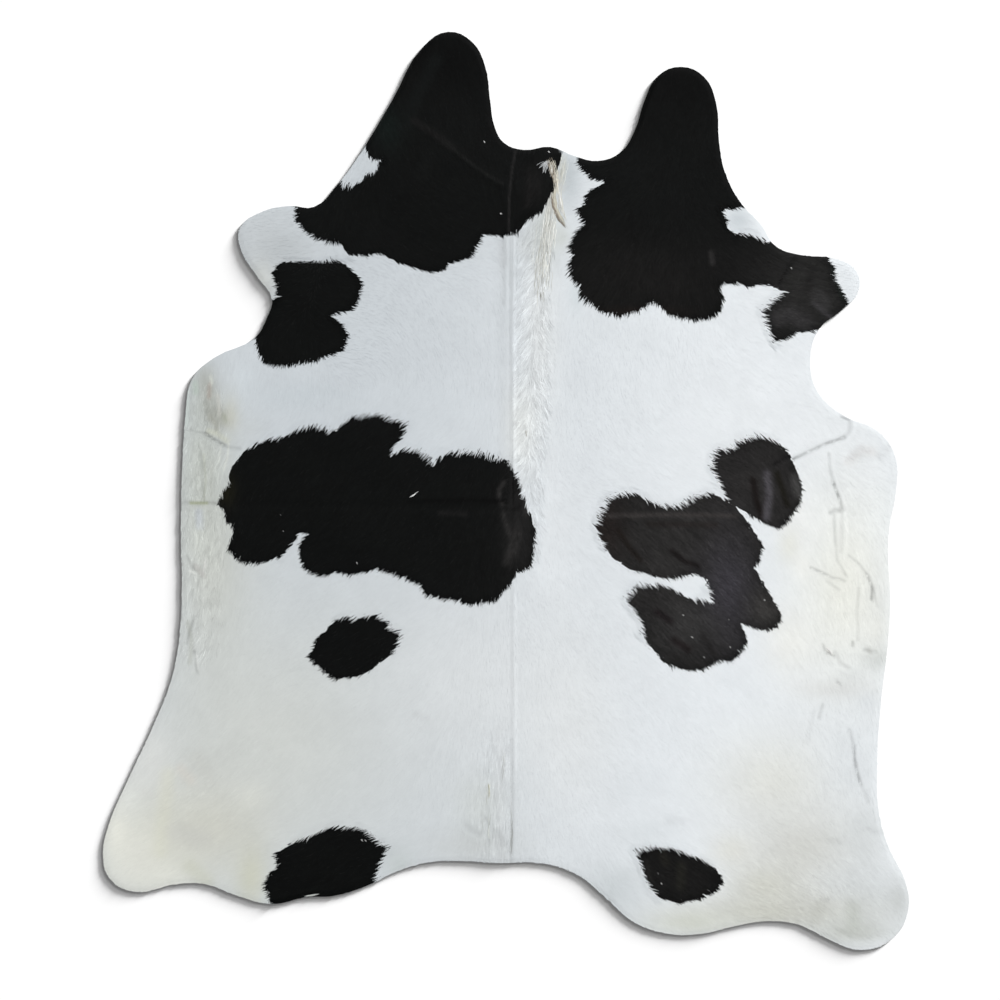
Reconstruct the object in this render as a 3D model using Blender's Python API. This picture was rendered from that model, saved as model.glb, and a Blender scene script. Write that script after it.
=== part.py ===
"""A black and white cowhide rug, lying flat with the hair side up.

Metres, +Z up, the neck towards +Y. The origin is the middle of the hide on the floor.
The hide is one solid: leather with its coat of short hair, level below and softly creased above.
"""

import math

import bmesh
import bpy
from mathutils import Matrix, Vector, noise

# Driving sizes in metres. The width follows from the length and the outline.
HIDE_LENGTH = 2.13
COAT_TOP = 0.0058
EDGE_THICKNESS = 0.0026
SHOULDER_THICKNESS = 0.0046
SHOULDER_INSET = 0.004
FIELD_INSET = 0.010
COCKLE_HEIGHT = 0.0007
COCKLE_SPACING = 0.24

# The long hair of the back stands up as a soft crest beside the spine fold.
CREST_HEIGHT = 0.0026
CREST_HALF_WIDTH = 0.052
CREST_WAVE = 0.0007
CREST_WAVE_LENGTH = 0.11
CREST_FADE = 0.15

# How finely the mesh follows them.
EDGE_STEPS = 4
GRID_PITCH = 0.040
CREST_COLUMNS = (-1.0, -0.5, 0.0, 0.5, 1.0)
SNAP = 0.0012
SHORTEST_EDGE = 0.003

COAT_COLOUR = (0.72, 0.74, 0.75, 1.0)
COAT_ROUGHNESS = 0.85

# The cut edge, clockwise from the left ear: stretch, then (across, down) in photo pixels.
OUTLINE = {
    "left ear": [(424, 46), (448, 32), (472, 42), (485, 66), (490, 100), (495, 128)],
    "nape": [(504, 143), (524, 150), (550, 147), (574, 156), (598, 161), (621, 152)],
    "right ear": [(635, 130), (644, 102), (658, 76), (681, 67), (704, 77), (716, 103), (719, 142)],
    "right neck": [(725, 173), (742, 205), (761, 225), (775, 246)],
    "right foreleg": [(800, 255), (836, 259), (856, 271), (858, 292), (842, 310), (819, 329)],
    "right armpit": [(810, 361), (818, 393), (846, 417)],
    "right belly": [(876, 430), (895, 456), (896, 490), (889, 528), (888, 560), (890, 600), (887, 650)],
    "right thigh": [(881, 700), (877, 765), (879, 815), (890, 851)],
    "right hind leg": [(905, 881), (908, 910), (893, 938), (861, 950), (830, 940), (800, 925)],
    "right rump": [(768, 921), (735, 926), (700, 934), (664, 933), (632, 921), (604, 896), (576, 874)],
    "tail edge": [(540, 863), (500, 863), (462, 861), (430, 862)],
    "left rump": [(400, 870), (366, 886), (332, 896), (306, 897), (272, 904), (238, 896), (205, 884)],
    "left hind leg": [(175, 884), (136, 892), (110, 879), (103, 855), (109, 824), (128, 780)],
    "left thigh": [(155, 722), (173, 674), (181, 620)],
    "left belly": [(181, 520), (183, 455), (186, 410), (192, 379), (214, 358)],
    "left armpit": [(256, 337), (267, 318), (272, 299)],
    "left foreleg": [(258, 278), (240, 247), (240, 228), (262, 212), (290, 206)],
    "left neck": [(314, 207), (338, 184), (356, 160), (392, 101)],
}

# Where the crest runs, in photo pixels down its length: (across, down).
CREST_LINE = [(540, 150), (541, 250), (538, 330), (530, 420), (522, 490)]

# Creases left by folding: name, start and end in photo pixels, then half width and rise in metres.
CREASES = [
    ("spine fold, neck", (515, 152), (513, 500), 0.010, -0.0016),
    ("spine fold, back", (513, 500), (511, 860), 0.010, -0.0013),
    ("packing fold, left", (186, 503), (515, 508), 0.014, -0.0010),
    ("packing fold, right", (515, 508), (880, 514), 0.014, -0.0009),
    ("ear fold", (430, 120), (520, 190), 0.012, 0.0009),
    ("left shoulder crease", (184, 428), (250, 454), 0.012, -0.0015),
    ("left belly crease", (194, 612), (196, 674), 0.012, -0.0011),
    ("right shoulder crease", (849, 420), (790, 462), 0.012, -0.0015),
    ("right flank crease", (828, 456), (840, 508), 0.012, -0.0015),
    ("right belly crease", (833, 512), (848, 576), 0.012, -0.0012),
    ("right edge crease", (852, 556), (875, 606), 0.012, -0.0012),
    ("right flank tuft", (812, 568), (848, 584), 0.012, 0.0010),
    ("right thigh crease", (851, 735), (862, 788), 0.012, -0.0015),
]


def remove_everything():
    """Start from an empty file."""
    for item in list(bpy.data.objects):
        bpy.data.objects.remove(item)


def make_collection(name):
    """A collection of its own for the rug."""
    collection = bpy.data.collections.new(name)
    bpy.context.scene.collection.children.link(collection)
    return collection


def coat_material():
    """The hair of the coat as one plain pale surface."""
    material = bpy.data.materials.new("coat")
    material.use_nodes = True
    surface = material.node_tree.nodes["Principled BSDF"]
    surface.inputs["Base Color"].default_value = COAT_COLOUR
    surface.inputs["Roughness"].default_value = COAT_ROUGHNESS
    surface.inputs["Metallic"].default_value = 0.0
    return material


def edge_curve():
    """The cut edge as one closed, filled curve through the landmarks, in photo pixels."""
    data = bpy.data.curves.new("cut_edge", "CURVE")
    data.dimensions = "2D"
    data.fill_mode = "BOTH"
    data.resolution_u = EDGE_STEPS
    spline = data.splines.new("BEZIER")
    landmarks = [landmark for stretch in OUTLINE.values() for landmark in stretch]
    spline.bezier_points.add(len(landmarks) - 1)
    for knot, (across, down) in zip(spline.bezier_points, landmarks):
        knot.co = (across, -down, 0.0)
        knot.handle_left_type = "AUTO"
        knot.handle_right_type = "AUTO"
    spline.use_cyclic_u = True
    curve = bpy.data.objects.new("cut_edge", data)
    bpy.context.scene.collection.objects.link(curve)
    return curve


def flat_hide(curve):
    """The curve's inside as a mesh, with the matrix from photo pixels to metres."""
    bpy.context.view_layer.update()
    evaluated = curve.evaluated_get(bpy.context.evaluated_depsgraph_get())
    mesh = bpy.data.meshes.new_from_object(evaluated)
    bpy.data.objects.remove(curve)
    across = [vertex.co.x for vertex in mesh.vertices]
    up = [vertex.co.y for vertex in mesh.vertices]
    middle = Vector(((min(across) + max(across)) / 2, (min(up) + max(up)) / 2, 0.0))
    pixel = HIDE_LENGTH / (max(up) - min(up))
    to_metres = Matrix.Scale(pixel, 4) @ Matrix.Translation(-middle)
    mesh.transform(to_metres)
    return mesh, to_metres


def in_metres(to_metres, place):
    """A place in the photo, (across, down), as a point on the floor."""
    across, down = place
    return to_metres @ Vector((across, -down, 0.0))


def distance_to(point, start, end):
    """How far a point is from a straight stretch."""
    run = end - start
    share = max(0.0, min(1.0, (point - start).dot(run) / run.length_squared))
    return (point - start - share * run).length


def bump(distance, half_width):
    """A round hump: 1 in the middle, 0 from the half width outwards."""
    if distance >= half_width:
        return 0.0
    return 0.5 + 0.5 * math.cos(math.pi * distance / half_width)


def crest_rise(point, crest):
    """The rise of the crest, wavy along its length and fading away down the back."""
    distance = min(distance_to(point, start, end) for start, end in zip(crest, crest[1:]))
    wave = CREST_WAVE * math.sin(2 * math.pi * point.y / CREST_WAVE_LENGTH)
    fade = min(1.0, max(0.0, (point.y - crest[-1].y) / CREST_FADE))
    return fade * (CREST_HEIGHT + wave) * bump(distance, CREST_HALF_WIDTH)


def relief(point, crest, creases):
    """The height of the coat above the floor at a point of the hide."""
    cockle = COCKLE_HEIGHT * noise.noise(point / COCKLE_SPACING)
    height = COAT_TOP + cockle + crest_rise(point, crest)
    for start, end, half_width, rise in creases:
        height += rise * bump(distance_to(point, start, end), half_width)
    return height


def cut_lines(mesh, faces, lines):
    """Cut the faces along upright planes, each given by a point and its normal."""
    for place, normal in lines:
        around = {item for face in faces for item in (face, *face.edges, *face.verts)}
        cut = bmesh.ops.bisect_plane(mesh, geom=list(around), plane_co=place, plane_no=normal, dist=SNAP)
        faces = [item for item in cut["geom"] if isinstance(item, bmesh.types.BMFace)]
    return faces


def grid_lines(width, length, crest):
    """The lines of an even net over the hide, with closer columns under the crest."""
    columns = int(width / 2 / GRID_PITCH)
    rows = int(length / 2 / GRID_PITCH)
    spine = sum(point.x for point in crest) / len(crest)
    close = [spine + share * CREST_HALF_WIDTH for share in CREST_COLUMNS]
    even = [column * GRID_PITCH for column in range(-columns, columns + 1)]
    even = [x for x in even if min(abs(x - other) for other in close) > GRID_PITCH / 3]
    upright = [(Vector((x, 0.0, 0.0)), Vector((1.0, 0.0, 0.0))) for x in sorted(close + even)]
    level = [
        (Vector((0.0, row * GRID_PITCH, 0.0)), Vector((0.0, 1.0, 0.0))) for row in range(-rows, rows + 1)
    ]
    return upright + level


def score_crease(mesh, faces, start, end, half_width):
    """Cut the faces near a crease along its middle and both its sides."""
    run = (end - start).normalized()
    side = Vector((-run.y, run.x, 0.0))
    reach = half_width + GRID_PITCH
    near = {face for face in faces if distance_to(face.calc_center_median().xy.to_3d(), start, end) < reach}
    far = [face for face in faces if face not in near]
    lines = [(start + offset * side, side) for offset in (-half_width, 0.0, half_width)]
    return far + cut_lines(mesh, near, lines)


def shape_hide(flat, to_metres):
    """The solid hide: thin at its cut edge, rising to the coat, creased and crested on top."""
    mesh = bmesh.new()
    mesh.from_mesh(flat)
    bmesh.ops.remove_doubles(mesh, verts=mesh.verts, dist=1e-6)
    underside = bmesh.ops.dissolve_faces(mesh, faces=mesh.faces[:], use_verts=False)["region"]
    raised = bmesh.ops.extrude_face_region(mesh, geom=underside, use_keep_orig=True)["geom"]
    edge = [item for item in raised if isinstance(item, bmesh.types.BMVert)]
    face = next(item for item in raised if isinstance(item, bmesh.types.BMFace))
    for vertex in edge:
        vertex.co.z = EDGE_THICKNESS
    bmesh.ops.inset_region(mesh, faces=[face], thickness=SHOULDER_INSET, use_even_offset=True)
    for vertex in face.verts:
        vertex.co.z = SHOULDER_THICKNESS
    bmesh.ops.inset_region(mesh, faces=[face], thickness=FIELD_INSET, use_even_offset=True)
    for vertex in face.verts:
        vertex.co.z = COAT_TOP

    crest = [in_metres(to_metres, place) for place in CREST_LINE]
    creases = [
        (in_metres(to_metres, start), in_metres(to_metres, end), half_width, rise)
        for _, start, end, half_width, rise in CREASES
    ]
    across = [vertex.co.x for vertex in mesh.verts]
    faces = cut_lines(mesh, [face], grid_lines(max(across) - min(across), HIDE_LENGTH, crest))
    for start, end, half_width, _ in creases:
        faces = score_crease(mesh, faces, start, end, half_width)
    field = {vertex for face in faces for vertex in face.verts}
    bmesh.ops.remove_doubles(mesh, verts=list(field), dist=SHORTEST_EDGE)
    for vertex in (vertex for vertex in field if vertex.is_valid):
        vertex.co.z = relief(vertex.co.xy.to_3d(), crest, creases)
    bmesh.ops.triangulate(mesh, faces=[face for face in mesh.faces if face not in underside])
    bmesh.ops.recalc_face_normals(mesh, faces=mesh.faces)
    return mesh


def make_hide(collection):
    """The hide as one named object with its coat."""
    flat, to_metres = flat_hide(edge_curve())
    solid = shape_hide(flat, to_metres)
    mesh = bpy.data.meshes.new("hide")
    solid.to_mesh(mesh)
    solid.free()
    mesh.materials.append(coat_material())
    mesh.shade_smooth()
    hide = bpy.data.objects.new("hide", mesh)
    collection.objects.link(hide)
    return hide


def main():
    remove_everything()
    make_hide(make_collection("cowhide_rug"))


main()
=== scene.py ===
# %% [markdown]
# # A cowhide rug
#
# One whole hide lies flat, hair side up. The real rug is a sheet of leather about 2.5 mm thick, with a
# coat of short hair that lies down on it. Seen from above, three things make it look real: the outline,
# the patches with their combed, ragged borders, and the way the hair flows from the spine to the belly.
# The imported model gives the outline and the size. Everything else here is measured from it.

import math

import bmesh
import bpy
import numpy as np
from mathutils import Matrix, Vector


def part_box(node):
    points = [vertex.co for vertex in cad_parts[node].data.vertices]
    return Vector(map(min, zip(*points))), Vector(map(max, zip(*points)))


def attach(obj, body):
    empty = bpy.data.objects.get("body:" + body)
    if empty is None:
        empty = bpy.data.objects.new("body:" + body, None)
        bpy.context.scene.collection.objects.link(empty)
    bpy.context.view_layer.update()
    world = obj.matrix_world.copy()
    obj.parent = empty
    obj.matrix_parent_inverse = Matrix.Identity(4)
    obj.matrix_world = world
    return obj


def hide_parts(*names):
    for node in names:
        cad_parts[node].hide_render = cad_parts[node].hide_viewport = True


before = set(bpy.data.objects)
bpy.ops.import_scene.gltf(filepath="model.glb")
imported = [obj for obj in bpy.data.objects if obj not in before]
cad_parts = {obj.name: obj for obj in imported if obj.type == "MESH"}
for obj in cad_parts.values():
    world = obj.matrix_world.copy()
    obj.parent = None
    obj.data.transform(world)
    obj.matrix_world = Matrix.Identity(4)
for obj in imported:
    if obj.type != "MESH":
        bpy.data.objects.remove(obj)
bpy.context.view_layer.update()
low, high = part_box("hide")
print("hide, metres:", [round(high[axis] - low[axis], 3) for axis in range(3)])

# %% [markdown]
# ## From the photograph to the floor
#
# The photograph looks straight down, so a place in it needs one scale and one shift to become a place
# on the floor. The hide's own edges in the photograph fix both. The tables below hold places as
# (across, down) in photo pixels, which is how a maker would point at them.

# %% Places
PHOTO_LEFT, PHOTO_RIGHT = 103.0, 908.9
PHOTO_TOP, PHOTO_BOTTOM = 32.0, 950.0
PHOTO_SIZE = 1000.0
PIXEL = (high[1] - low[1]) / (PHOTO_BOTTOM - PHOTO_TOP)


def on_floor(places):
    """Photo places, as rows of (across, down), in metres on the floor."""
    places = np.asarray(places, float)
    x = (places[..., 0] - (PHOTO_LEFT + PHOTO_RIGHT) / 2) * PIXEL
    y = high[1] - (places[..., 1] - PHOTO_TOP) * PIXEL
    return np.stack([x, y], axis=-1)


def floor_x(across):
    """The X of a line that runs straight down the photo."""
    return on_floor((across, 0))[0]


print("one photo pixel is", round(PIXEL * 1000, 2), "mm")

# %% [markdown]
# ## Charts
#
# Hundreds of thousands of hairs will ask the same questions: how far is the edge, which patch is this,
# where does the hair point, how high is the leather? Each answer is worked out once on a fine net of
# cells over the hide, a chart, and then read between the cells. That is much quicker than asking
# the outline itself every time.

# %% The chart's cells, and reading between them
CELL = 0.0022
CHART_MARGIN = 0.06
chart_x = np.arange(low[0] - CHART_MARGIN, high[0] + CHART_MARGIN, CELL)
chart_y = np.arange(low[1] - CHART_MARGIN, high[1] + CHART_MARGIN, CELL)
cells_x, cells_y = np.meshgrid(chart_x, chart_y)


def read_chart(chart, x, y):
    """The chart's value at each place, read between its cells."""
    column = np.clip((x - chart_x[0]) / CELL, 0, len(chart_x) - 1.001)
    row = np.clip((y - chart_y[0]) / CELL, 0, len(chart_y) - 1.001)
    left, below = column.astype(int), row.astype(int)
    right_share, up_share = column - left, row - below
    if chart.ndim == 3:
        right_share, up_share = right_share[..., None], up_share[..., None]
    lower = chart[below, left] * (1 - right_share) + chart[below, left + 1] * right_share
    upper = chart[below + 1, left] * (1 - right_share) + chart[below + 1, left + 1] * right_share
    return lower * (1 - up_share) + upper * up_share


print("chart:", cells_x.shape[1], "by", cells_x.shape[0], "cells")

# %% [markdown]
# Folds, borders and the cut edge are all lines of points, so the most useful chart is the distance to a
# line. It is worked out stretch by stretch, and only in the cells near each stretch. A closed border
# also has an inside: going along a row of cells, each crossing of the border swaps inside and outside.

# %% Charts of lines and loops
def distance_to(x, y, start, end):
    """How far each place is from a straight stretch."""
    run = end - start
    share = np.clip(((x - start[0]) * run[0] + (y - start[1]) * run[1]) / (run @ run), 0, 1)
    return np.hypot(x - start[0] - share * run[0], y - start[1] - share * run[1])


def near_line(line, reach):
    """A chart of the distance to a line of points, at most reach."""
    chart = np.full(cells_x.shape, reach)
    for start, end in zip(line, line[1:]):
        first, last = np.minimum(start, end) - reach, np.maximum(start, end) + reach
        columns = slice(*np.searchsorted(chart_x, (first[0], last[0])))
        rows = slice(*np.searchsorted(chart_y, (first[1], last[1])))
        if columns.start == columns.stop or rows.start == rows.stop:
            continue
        away = distance_to(cells_x[rows, columns], cells_y[rows, columns], start, end)
        chart[rows, columns] = np.minimum(chart[rows, columns], away)
    return chart


def inside_loop(loop):
    """A chart that is true inside a closed loop of points."""
    chart = np.zeros(cells_x.shape, bool)
    for start, end in zip(loop, np.roll(loop, -1, axis=0)):
        below, above = sorted((start[1], end[1]))
        rows = slice(*np.searchsorted(chart_y, (below, above)))
        if rows.start == rows.stop:
            continue
        share = (chart_y[rows] - start[1]) / (end[1] - start[1])
        crossing = start[0] + share * (end[0] - start[0])
        chart[rows] ^= chart_x[None, :] < crossing[:, None]
    return chart


def into_loop(loop, reach):
    """A chart of the distance into a closed loop, negative outside, at most reach either way."""
    closed = np.concatenate([loop, loop[:1]])
    return np.where(inside_loop(loop), 1.0, -1.0) * near_line(closed, reach)


SPINE_ENDS = np.array([[0.0, low[1]], [0.0, high[1]]])
print("from 0.2 m beside the spine to the spine:", distance_to(0.2, 0.0, *SPINE_ENDS).round(3), "m")

# %% [markdown]
# Nothing on a hide starts or ends sharply, so most values come in by a soft step. Nothing is quite even
# either. A chart of chance, blurred into soft lumps a few millimetres wide, makes folds and hair uneven.
# The chance starts from a fixed seed, so every run gives the same rug.

# %% Soft steps and soft chance
SEED = 21
SMOOTH_ROUNDS = 7
rng = np.random.default_rng(SEED)


def soft_step(value, start, end):
    """0 before start, 1 past end, and smooth between them."""
    share = np.clip((value - start) / (end - start), 0, 1)
    return share * share * (3 - 2 * share)


def smooth_chance():
    """A chart of soft lumps of chance, with spread 1."""
    chart = rng.normal(0, 1, cells_x.shape)
    for _ in range(SMOOTH_ROUNDS):
        for axis in (0, 1):
            chart = (np.roll(chart, 1, axis) + chart + np.roll(chart, -1, axis)) / 3
    return chart / chart.std()


print("a quarter of the way, a soft step has risen to", round(float(soft_step(0.25, 0, 1)), 3))

# %% [markdown]
# ## The cut edge
#
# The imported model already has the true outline. Its mesh is loose triangles, so a copy is merged, all
# but the faces on the floor are taken away, and those are joined into one flat face. The corners of that
# face are the cut edge.

# %% Flat face of the hide
FLOOR_GAP = 1e-5


def flat_face():
    """A bmesh of one flat face with the hide's outline."""
    flat = bmesh.new()
    flat.from_mesh(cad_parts["hide"].data)
    bmesh.ops.remove_doubles(flat, verts=flat.verts, dist=FLOOR_GAP)
    raised = [face for face in flat.faces if max(corner.co.z for corner in face.verts) > FLOOR_GAP]
    bmesh.ops.delete(flat, geom=raised, context="FACES")
    bmesh.ops.dissolve_faces(flat, faces=flat.faces[:], use_verts=False)
    return flat


outline_mesh = flat_face()
outline_mesh.faces.ensure_lookup_table()
cut_edge = np.array([corner.co.xy for corner in outline_mesh.faces[0].verts])
outline_mesh.free()
EDGE_REACH = 0.05
edge_chart = into_loop(cut_edge, EDGE_REACH)

# %% [markdown]
# ## Relief
#
# Leather that has been folded for months keeps its folds as soft troughs. The rows below place each one.
# The coat also stands up in a low crest of long hair along the neck and back, and the whole hide is very
# slightly cockled.

# %% Folds, crest and cockle
LEATHER_TOP = 0.0036
RIM_TOP = 0.0022
RIM_WIDTH = 0.012
CREST_HEIGHT = 0.0022
CREST_HALF_WIDTH = 0.052
CREST_LINE = [
    (541, 150), (541, 250), (539, 300), (535, 350), (531, 400), (528, 440), (523, 490), (516, 560),
]
# How long each slow wave of the cockle is, in metres, the way it runs in degrees, and its height.
COCKLE = [(0.46, 20, 0.0003), (0.31, 75, 0.0003), (0.23, 130, 0.0002), (0.17, 50, 0.0002)]

# Name, points in the photo, then half width and rise in millimetres, and how much shade it paints on the
# hair; a negative amount paints light.
FOLDS = [
    ("spine fold, neck", [(511, 236), (510, 330), (511, 500)], 6, -0.9, 0.12),
    ("spine fold, lit side", [(514, 236), (514, 330), (514, 505)], 6, 0.7, -0.09),
    ("spine fold, second trough", [(503, 238), (504, 305)], 6, -0.5, 0.09),
    ("spine fold, second ridge", [(507, 238), (507, 310)], 5, 0.4, -0.06),
    ("spine fold, shaded bank", [(501, 300), (503, 400), (504, 470)], 24, -0.3, 0.05),
    ("spine fold, back", [(511, 500), (511, 640), (511, 740)], 7, -0.7, 0.07),
    ("spine fold, back, lit side", [(515, 500), (515, 640), (516, 770)], 6, 0.4, -0.07),
    ("spine fold, rump", [(511, 740), (512, 800), (511, 862)], 7, -0.9, 0.16),
    ("packing fold, left edge", [(183, 503), (196, 503), (208, 503), (219, 504)], 8, -0.8, 0.16),
    ("packing fold, left", [(222, 505), (515, 508)], 16, -0.3, 0.0),
    ("packing fold, right", [(515, 508), (880, 514)], 16, -0.3, 0.0),
    ("ear fold", [(430, 130), (478, 168), (502, 184)], 18, 0.4, 0.0),
    ("left shoulder crease", [(186, 430), (207, 434)], 5, -0.6, 0.10),
    ("left shoulder crease, deep", [(206, 434), (213, 439), (223, 445)], 6, -1.1, 0.40),
    ("left shoulder crease, faint end", [(223, 445), (231, 448), (240, 449)], 8, -0.6, 0.16),
    ("left belly, short crease", [(187, 556), (191, 566), (197, 572)], 6, -0.6, 0.14),
    ("left belly crease", [(194, 618), (189, 632), (187, 644)], 7, -1.0, 0.17),
    ("left belly crease, low", [(194, 652), (197, 673)], 6, -1.0, 0.18),
    ("left belly ridge", [(200, 445), (204, 470), (204, 495)], 6, 0.8, 0.08),
    ("right shoulder dent", [(841, 417), (849, 420)], 7, -1.0, 0.26),
    ("right shoulder crease, top", [(850, 423), (848, 432), (843, 438)], 10, -1.1, 0.14),
    ("right shoulder crease", [(843, 438), (825, 444), (810, 451), (793, 459)], 6, -1.4, 0.36),
    ("right shoulder ripple", [(849, 459), (860, 450)], 14, -0.8, 0.09),
    ("right shoulder ripple, outer", [(860, 460), (867, 452)], 11, -0.7, 0.08),
    ("right shoulder, edge", [(878, 458), (890, 446)], 18, -0.8, 0.08),
    ("right flank crease", [(828, 454), (829, 470), (833, 484)], 6, -0.8, 0.16),
    ("right flank crease, deep", [(833, 484), (838, 496), (842, 510)], 6, -1.1, 0.34),
    ("right flank hook", [(830, 513), (834, 510), (839, 511)], 9, -1.0, 0.28),
    ("right belly crease", [(833, 514), (834, 535), (836, 560), (846, 577)], 6, -0.7, 0.12),
    ("right belly crease, outer", [(841, 512), (841, 535), (840, 552)], 8, -0.5, 0.08),
    ("right belly, lit ridge", [(844, 514), (845, 535), (844, 550)], 6, 0.7, -0.04),
    ("right flank ridge", [(810, 568), (820, 572), (832, 578), (844, 581)], 6, -0.9, 0.18),
    ("right flank ridge, lower", [(826, 582), (838, 590)], 8, -0.6, 0.10),
    ("right edge crease", [(848, 556), (858, 564), (867, 576)], 6, -0.7, 0.13),
    ("right edge crease, deep", [(867, 576), (872, 588), (871, 600)], 7, -1.1, 0.32),
    ("right flank pucker", [(868, 575), (861, 592)], 9, 0.6, -0.04),
    ("right flank pucker, outer", [(878, 588), (881, 612)], 10, -0.5, 0.06),
    ("right edge crease, branch", [(873, 590), (877, 607)], 6, -0.6, 0.10),
    ("right belly ripple", [(858, 588), (856, 612), (857, 640)], 7, -0.7, 0.10),
    ("right belly pock", [(852, 642), (852, 646)], 6, -0.8, 0.26),
    ("right belly wrinkle", [(822, 645), (825, 652), (833, 656)], 6, -0.8, 0.24),
    ("right belly wrinkles, low", [(834, 652), (840, 664), (848, 668)], 9, -0.7, 0.10),
    ("right belly fleck", [(837, 682), (839, 684)], 6, -0.8, 0.24),
    ("right belly, edge dent", [(864, 650), (875, 652)], 9, -0.8, 0.14),
    ("right thigh crease, top", [(849, 730), (851, 738), (853, 745)], 6, -0.8, 0.17),
    ("right thigh crease", [(853, 747), (854, 758), (856, 770), (860, 784)], 6, -1.1, 0.38),
    ("right thigh crease, faint end", [(861, 786), (867, 802)], 8, -0.6, 0.09),
    ("right thigh ripple", [(822, 705), (818, 718)], 7, -0.8, 0.16),
    ("right thigh ripple, long", [(812, 712), (806, 742)], 9, -0.7, 0.07),
    ("right hock dent", [(829, 842), (838, 843)], 14, -0.6, 0.07),
    ("right hock dent, outer", [(868, 830), (880, 832)], 14, -0.6, 0.07),
    ("right leg, low fold", [(835, 929), (852, 938), (870, 938), (887, 931)], 10, -0.5, 0.05),
    ("loin dent", [(414, 716), (424, 720)], 18, -0.7, 0.06),
    ("rump dent", [(667, 822), (680, 822)], 18, -0.7, 0.05),
    ("tail dent, left", [(467, 827), (479, 834)], 16, -0.9, 0.10),
    ("tail dent, middle", [(484, 818), (490, 828), (489, 840)], 15, -0.9, 0.09),
    ("tail dent, right", [(496, 832), (503, 845)], 14, -0.8, 0.09),
]
print("folds placed:", len(FOLDS))

# %% [markdown]
# A fold is a round hump or trough across its line, and the rim of the hide is thinner. The same loop
# also charts the shade painted on the hair over the folds: a sharp one gathers most of it in a fine line,
# and a negative amount paints light. And it charts the way to the nearest crease, because hair will not
# reach across one.

# %% Height, shade and room
MILLIMETRE = 0.001
SHARP_HALF_WIDTH = 7
FOLD_LINE = 0.0052
FOLD_LINE_SHARE = 0.85
FOLD_SOFT_SHARE = 0.30
FOLD_UNEVEN = 0.16
CREASE_DARKER = 0.10
CREASE_ROOM = 0.030


def hump(distance, half_width):
    """A round hump across a line: 1 on it, and 0 from the half width outwards."""
    return np.where(distance < half_width, 0.5 + 0.5 * np.cos(np.pi * distance / half_width), 0.0)


def relief():
    """Charts of the leather's height, of the shade in its folds, and of the way to a crease."""
    rim = soft_step(edge_chart, 0, RIM_WIDTH)
    height = RIM_TOP + (LEATHER_TOP - RIM_TOP) * rim
    shade, room = np.zeros(cells_x.shape), np.full(cells_x.shape, CREASE_ROOM)
    for _, places, half_width, rise, darker in FOLDS:
        reach = half_width * MILLIMETRE
        away = near_line(on_floor(places), CREASE_ROOM)
        height += rise * MILLIMETRE * hump(away, reach) * rim
        # The fold's shade is painted into the hair's tone: a sharp fold gets most of it in a fine line.
        if half_width <= SHARP_HALF_WIDTH:
            shade += darker * FOLD_SOFT_SHARE * hump(away, 2 * reach)
            shade += darker * FOLD_LINE_SHARE * hump(away, FOLD_LINE)
        else:
            shade += darker * hump(away, reach)
        if darker >= CREASE_DARKER:
            room = np.minimum(room, away)
    crest = hump(near_line(on_floor(CREST_LINE), CREST_HALF_WIDTH), CREST_HALF_WIDTH)
    height += CREST_HEIGHT * crest * rim
    for wave_length, turn, rise in COCKLE:
        way = math.radians(turn)
        along = cells_x * math.cos(way) + cells_y * math.sin(way)
        height += rise * rim * np.sin(2 * np.pi * along / wave_length)
    return height, shade * np.clip(1 + FOLD_UNEVEN * smooth_chance(), 0, 2), room


height_chart, fold_shade, crease_room = relief()
rise_y, rise_x = np.gradient(height_chart, CELL)
slope_chart = np.stack([rise_x, rise_y], axis=-1)
lowest, highest = height_chart.min() / MILLIMETRE, height_chart.max() / MILLIMETRE
print("leather from", round(lowest, 1), "to", round(highest, 1), "mm")
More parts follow.
